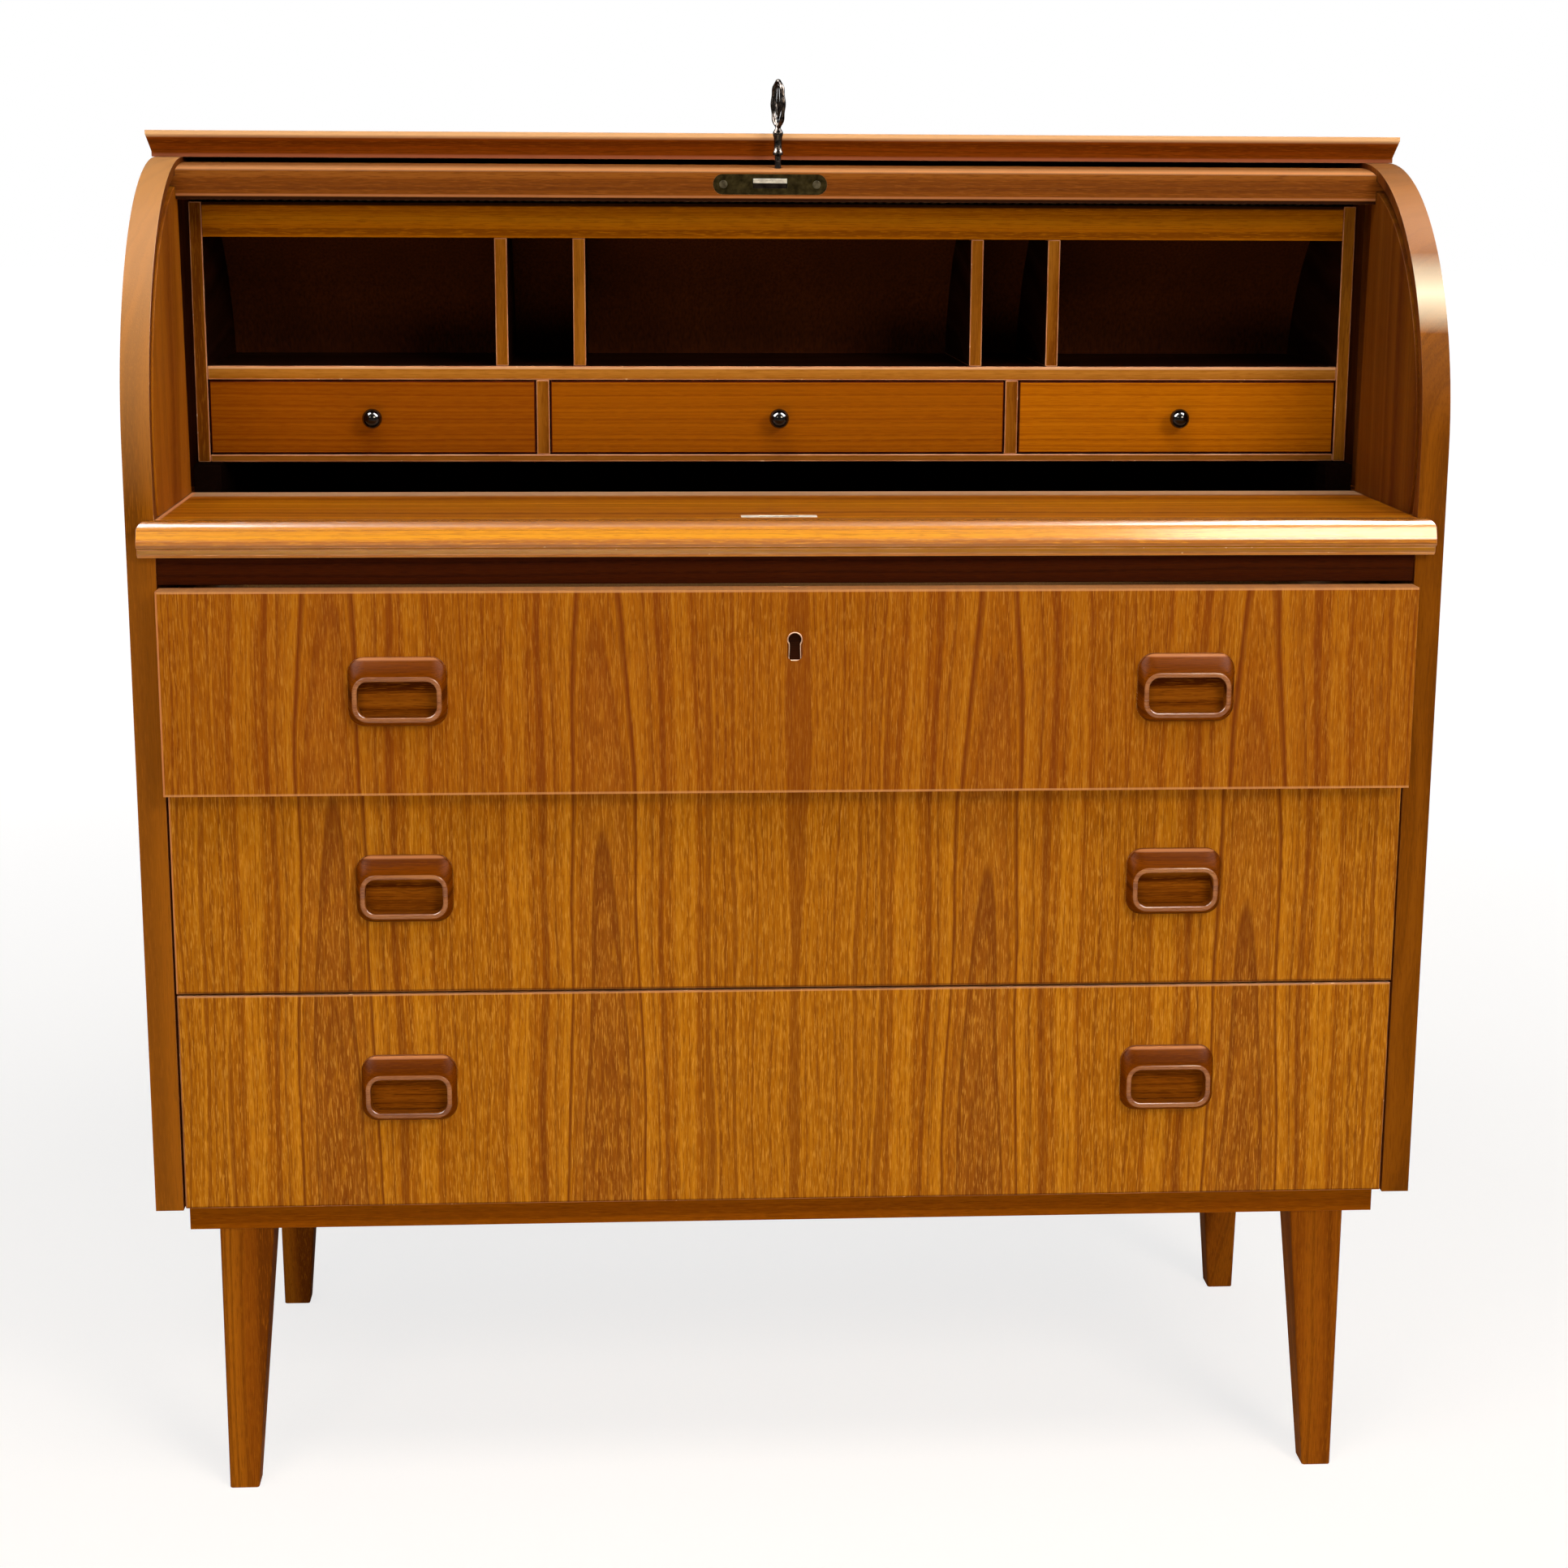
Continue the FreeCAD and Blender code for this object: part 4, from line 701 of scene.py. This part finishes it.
def pull_rings(middle, foot, face):
    """Rings of one drawer pull, in mm, and the number of bands in its face, bead and cup.

    The face runs in straight lines from the outer outline to the crest round the cup. The crest
    lies low in the block, so these lines are steep at the sides and foot and make a long sloped
    hood at the top. The bead is a half circle and the cup a straight-walled hollow."""
    wide, high, reach, corner = 72.0, 51.0, 12.0, 12.0
    cup_wide, cup_high, cup_foot, cup_deep, cup_corner = 57.6, 26.6, 7.7, 11.5, 7.8
    bead, bead_rise, bead_foot = 3.6, 0.8, 0.93
    cup_middle = foot + cup_foot + cup_high / 2
    outer, _ = round_outline(wide / 2, high / 2, corner)
    cup, cup_away = round_outline(cup_wide / 2, cup_high / 2, cup_corner)
    outer[:, 1] += foot + high / 2
    cup[:, 1] += cup_middle
    crest = cup + bead * cup_away
    # Share of the way in and share of the reach: a small round step, then a slightly full slope
    slope = [(0.0, 0.0), (0.0, 0.17), (0.015, 0.24), (0.045, 0.3), (0.09, 0.35), (0.3, 0.53), (0.55, 0.73),
             (0.75, 0.86), (0.9, 0.94)]
    bands = [(outer + share * (crest - outer), face - reach * rise) for share, rise in slope]
    turns = np.radians(np.linspace(20, 180, 8))
    bands += [
        (
            cup + bead * (0.5 + 0.5 * math.cos(turn)) * cup_away,
            face - reach * bead_foot - bead_rise * math.sin(turn),
        )
        for turn in turns
    ]
    # The cup's straight wall, and a small round down to its floor
    bands += [
        (cup, face + cup_deep - 3.0),
        (cup - 0.9 * cup_away, face + cup_deep - 0.8),
        (cup - 3.0 * cup_away, face + cup_deep),
    ]
    rings = np.array([[(middle + x, depth, z) for x, z in outline] for outline, depth in bands])
    return rings, (len(slope), len(turns), 3)


def drawer_pulls(name, body):
    """The pair of pulls of one drawer, shaped from solid teak, with a dark cup for the fingers."""
    low, high = (np.array(corner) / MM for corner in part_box(name))
    parts, shares = [], []
    for middle in (-290.0, 290.0):
        rings, (slope, bead, cup) = pull_rings(middle, low[2], high[1])
        parts.append(skin(rings))
        # The step at the back and the bead take the worn rim, the slope the pull's own wood
        by_ring = [1] * 2 + [0] * (slope - 2) + [1] * (bead - 1) + [2] * cup
        shares += np.repeat(by_ring, rings.shape[1]).tolist() + [2, 2]
    points, faces = gathered(parts)
    make_piece("shaped_" + name, body, points * MM, faces, [HANDLE, BEAD, CUP], name, shares)


for level in ("top", "middle", "bottom"):
    drawer_pulls(f"drawer_{level}_pulls", f"{level}_drawer")


def turned_knob(name, body):
    """A round knob: a ball on a waisted stem with a thin foot, turned about its own axis.

    The profile is a list of (distance out of the drawer front, radius); the ball is the arc of a
    circle as wide as the CAD knob, and each ring is a circle round the axis."""
    low, high = (np.array(corner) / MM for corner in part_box(name))
    middle_x, middle_z = (low[0] + high[0]) / 2, (low[2] + high[2]) / 2
    reach, radius = high[1] - low[1], (high[0] - low[0]) / 2
    neck, sides = 3.4, 32
    profile = [(0.0, 5.4), (1.0, 5.4), (1.5, 5.0), (2.0, 3.6), (3.0, 3.1)]
    turns = np.linspace(math.asin(neck / radius), math.pi - 0.06, 16)
    profile += [(reach - radius - radius * math.cos(turn), radius * math.sin(turn)) for turn in turns]
    around = np.linspace(0, 2 * math.pi, sides, endpoint=False)
    rings = []
    for out, r in profile:
        x, z = middle_x + r * np.cos(around), middle_z + r * np.sin(around)
        rings.append(np.stack([x, np.full(sides, high[1] - out), z], axis=1))
    points, faces = skin(np.array(rings))
    make_piece("turned_" + name, body, points * MM, faces, [BLACK], name, sharp=40)


for place in ("left", "middle", "right"):
    turned_knob(f"small_drawer_{place}_knob", node_body(f"small_drawer_{place}_knob"))


def keyhole_liner(name, body):
    """The keyhole: a thin brass liner round a dark well, round at its head and narrower below.

    The outline is most of a circle over a stem that widens a little to a flat foot; the liner is a
    half round rim, 0.9 mm wide, and the well goes straight in to a flat dark floor."""
    low, high = (np.array(corner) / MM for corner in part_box(name))
    half_wide, half_high = (high[0] - low[0]) / 2, (high[2] - low[2]) / 2
    middle = (low[2] + high[2]) / 2
    turn = np.radians(np.linspace(-38, 218, 21))
    head = np.stack([np.cos(turn), np.sin(turn)], axis=1)
    foot = np.array([[-0.84, -0.94], [-0.76, -1.0], [0.76, -1.0], [0.84, -0.94]])
    bands = [
        (0.0, high[1]), (0.0, low[1] + 0.35), (0.15, low[1] + 0.08), (0.45, low[1]),
        (0.75, low[1] + 0.1), (0.9, low[1] + 0.4), (0.95, high[1] - 0.3),
    ]
    rings = []
    for inset, depth in bands:
        wide = half_wide - inset
        eye = head * wide + [0.0, half_high - half_wide]
        base = foot * [wide, half_high - inset]
        outline = np.concatenate([eye, base])
        rings.append(np.stack([outline[:, 0], np.full(len(outline), depth), middle + outline[:, 1]], axis=1))
    points, faces = skin(np.array(rings))
    # The last band and the floor are the dark well, painted shade in the deep hole; the rest is the liner
    around = len(outline)
    shares = [0] * (5 * around) + [1] * around + [0, 1]
    make_piece("lined_" + name, body, points * MM, faces, [LINER, DARK], name, shares)


keyhole_liner("keyhole_plate", "top_drawer")


def tube(path, across, radii, around=10, closed=True):
    """Rings of a tube along a path that lies in a plane: circles square to the path's direction.

    across is the direction square to that plane."""
    ahead = np.roll(path, -1, axis=0) - np.roll(path, 1, axis=0)
    if not closed:
        ahead[0], ahead[-1] = path[1] - path[0], path[-1] - path[-2]
    ahead /= np.linalg.norm(ahead, axis=1, keepdims=True)
    side = np.cross(ahead, across)
    turn = np.linspace(0, 2 * math.pi, around, endpoint=False)
    radii = np.asarray(radii)[:, None, None]
    ring = np.cos(turn)[None, :, None] * side[:, None, :] + np.sin(turn)[None, :, None] * np.asarray(across)
    return path[:, None, :] + radii * ring


def closed_skin(rings):
    """Points and faces of a skin over rings that join up into a loop."""
    count, around = rings.shape[:2]
    index = np.arange(count * around).reshape(count, around)
    ahead, next_ring = np.roll(index, -1, axis=1), np.roll(index, -1, axis=0)
    quads = np.stack([index, ahead, np.roll(next_ring, -1, axis=1), next_ring], axis=-1).reshape(-1, 4)
    return rings.reshape(-1, 3), quads.tolist()


def door_key(name, body):
    """The key: a turned shank and an open oval bow with beads on its rim and a leaf inside.

    The shank is a profile turned round its axis. The bow is a tube along an ellipse, thicker at
    eight places; the leaf is a loop of thinner tube, narrow at its foot, with a vein."""
    low, high = (np.array(corner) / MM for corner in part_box(name))
    axis, bit, thickest = np.array([-3.0, -29.0]), 1.1, 2.0
    top, bow_high, bow_wide, bow_turn = high[2], 19.0, 11.4, math.radians(22)
    across = np.array([math.cos(bow_turn), math.sin(bow_turn), 0.0])
    out = np.array([-math.sin(bow_turn), math.cos(bow_turn), 0.0])
    middle = np.array([axis[0], axis[1], top - bow_high])
    up = np.array([0.0, 0.0, 1.0])
    parts = []
    turn = np.linspace(0, 2 * math.pi, 64, endpoint=False)
    bead = thickest - 0.55 * np.sin(4 * turn) ** 2
    oval = (bow_wide - thickest) * np.sin(turn)[:, None] * out
    oval = oval + (bow_high - thickest) * np.cos(turn)[:, None] * up
    parts.append(closed_skin(tube(middle + oval, across, bead)))
    leaf_wide = 4.6 * np.sin(turn) * (1 + 0.35 * np.cos(turn))
    leaf = leaf_wide[:, None] * out + (12.6 * np.cos(turn) + 2.0)[:, None] * up
    parts.append(closed_skin(tube(middle + leaf, across, 0.75 + 0.25 * np.cos(3 * turn) ** 2, 8)))
    rise = np.linspace(-17.0, 17.4, 24)
    vein = middle + rise[:, None] * up
    parts.append(skin(tube(vein, across, 0.7 + 0.6 * np.exp(-((rise - 2) / 5.0) ** 2), 8, closed=False)))
    neck = top - 2 * bow_high
    profile = [
        (low[2], 2.5), (neck - 30.0, 2.5), (neck - 20.0, 2.5), (neck - 19.4, 3.8), (neck - 17.0, 4.0),
        (neck - 16.0, 3.2), (neck - 12.0, 3.0), (neck - 6.0, 3.3), (neck - 4.2, 4.0),
        (neck - 2.0, 3.9), (neck - 0.6, 3.0), (neck + 0.8, 2.2), (neck + 3.0, 2.0), (neck + 5.0, 1.2),
    ]
    sides = 20
    ring = np.linspace(0, 2 * math.pi, sides, endpoint=False)
    shank = []
    for z, r in profile:
        x, y = axis[0] + r * np.cos(ring), axis[1] + r * np.sin(ring)
        shank.append(np.stack([x, y, np.full(sides, z)], axis=1))
    parts.append(skin(np.array(shank)))
    left, right = axis[0] - bit, axis[0] + bit
    corners = [(left, axis[1]), (right, axis[1]), (right, high[1]), (left, high[1])]
    blade = np.array([[(x, y, z) for x, y in corners] for z in (low[2], low[2] + 4.0)])
    parts.append(skin(blade))
    points, faces = gathered(parts)
    make_piece("cast_" + name, body, points * MM, faces, [NICKEL], name)


door_key("key", "key")


# Floor, light and camera


def flat_sheet(name, half, height, material):
    """A level square sheet."""
    mesh = bpy.data.meshes.new(name)
    corners = [(-half, -half, height), (half, -half, height), (half, half, height), (-half, half, height)]
    mesh.from_pydata(corners, [], [(0, 1, 2, 3)])
    mesh.materials.append(material)
    shown(name, mesh)


def floor_finish():
    """Pale floor: the camera sees it near white, with the desk's soft shadow kept near its legs.

    Its glow grows from 0.76 within 0.9 m of the desk's middle to 1 at 3.5 m."""
    material, tree = new_material("pale_floor")
    lit = add(tree, "BsdfDiffuse", {"Color": linear("#E8E6E2")})
    dim = add(tree, "BsdfDiffuse", {"Color": linear("#A0A0A4")})
    away = add(tree, "VectorMath", {0: add(tree, "TexCoord", out="Object")}, out="Value", operation="LENGTH")
    strength = add(tree, "MapRange", {"Value": away, "From Min": 0.9, "From Max": 3.5, "To Min": 0.76})
    glow = add(tree, "Emission", {"Color": linear("#FFFFFF"), "Strength": strength})
    both = add(tree, "AddShader", {0: dim, 1: glow})
    seen = add(tree, "LightPath", out="Is Camera Ray")
    add(tree, "OutputMaterial", {"Surface": add(tree, "MixShader", {0: seen, 1: lit, 2: both})})
    return material


def set_world():
    """Even pale surroundings; the camera sees them white."""
    world = bpy.data.worlds.new("pale_room")
    bpy.context.scene.world = world
    world.use_nodes = True
    tree = world.node_tree
    tree.nodes.clear()
    seen = add(tree, "LightPath", out="Is Camera Ray")
    room = add(tree, "Background", {"Color": linear("#F4F0EA"), "Strength": 0.2})
    white = add(tree, "Background", {"Color": linear("#FFFFFF"), "Strength": 1.0})
    add(tree, "OutputWorld", {"Surface": add(tree, "MixShader", {0: seen, 1: room, 2: white})})


def soft_light(name, place, aim, size, power, mirrored=True, tint="#FFEED6"):
    """A soft box of so many watts that faces a point; mirrored says whether gloss shows it."""
    light = bpy.data.lights.new(name, "AREA")
    light.shape = "RECTANGLE"
    light.size, light.size_y = size
    light.energy = power
    light.color = linear(tint)[:3]
    lamp = shown(name, light)
    lamp.visible_glossy = mirrored
    lamp.location = place
    lamp.rotation_mode = "QUATERNION"
    lamp.rotation_quaternion = (Vector(aim) - Vector(place)).to_track_quat("-Z", "Y")
    return lamp


def gleam(name, place, aim, size, power):
    """A window that shows only as a sharp light in lacquer, metal and worn finish."""
    soft_light(name, place, aim, size, power, tint="#FFFFFF").visible_diffuse = False


def set_camera(place, yaw, pitch, roll, focal_share):
    """A camera at a place; yaw turns it towards +X, pitch down and roll about its view, in radians.

    focal_share is the focal length as a share of the picture's width."""
    ahead = np.array([math.sin(yaw) * math.cos(pitch), math.cos(yaw) * math.cos(pitch), -math.sin(pitch)])
    level = np.array([math.cos(yaw), -math.sin(yaw), 0.0])
    above = np.cross(level, ahead)
    right = math.cos(roll) * level + math.sin(roll) * above
    top = -math.sin(roll) * level + math.cos(roll) * above
    data = bpy.data.cameras.new("photo_camera")
    data.sensor_width = 36.0
    data.lens = focal_share * data.sensor_width
    camera = shown("photo_camera", data)
    turn = Matrix([list(row) for row in np.array([right, top, -ahead]).T])
    camera.matrix_world = Matrix.Translation(place) @ turn.to_4x4()
    bpy.context.scene.camera = camera


flat_sheet("floor", 30.0, 0.0, floor_finish())
set_world()
soft_light("key_soft_box", (1.35, -2.6, 2.1), (0.1, -0.1, 0.6), (1.0, 0.8), 41)
soft_light("side_soft_box", (-1.3, -2.6, 2.0), (0.0, -0.1, 0.8), (0.5, 0.5), 6)
soft_light("fill_soft_box", (-0.5, -3.0, 0.3), (0.0, -0.1, 0.2), (1.8, 0.6), 22, mirrored=False)
soft_light("overhead_soft_box", (0.0, -1.3, 3.2), (0.0, -0.1, 0.8), (2.4, 0.9), 36, mirrored=False)
soft_light("ceiling_glow", (0.0, -1.3, 3.1), (0.0, -0.1, 0.8), (2.4, 0.9), 6)
gleam("window_left", (-2.2, -0.45, 3.4), (0.0, -0.1, 0.9), (3.0, 3.0), 800)
gleam("window_right", (2.2, -0.45, 3.4), (0.0, -0.1, 0.9), (3.0, 3.0), 800)
# The pinhole camera that was fitted to the photograph, with a focal length of 3430 of its 1932 pixels
set_camera((-0.1259, -2.2385, 1.0178), 0.0588, 0.2142, 0.005, 3430 / 1932)

scene = bpy.context.scene
scene.view_settings.view_transform = "Standard"
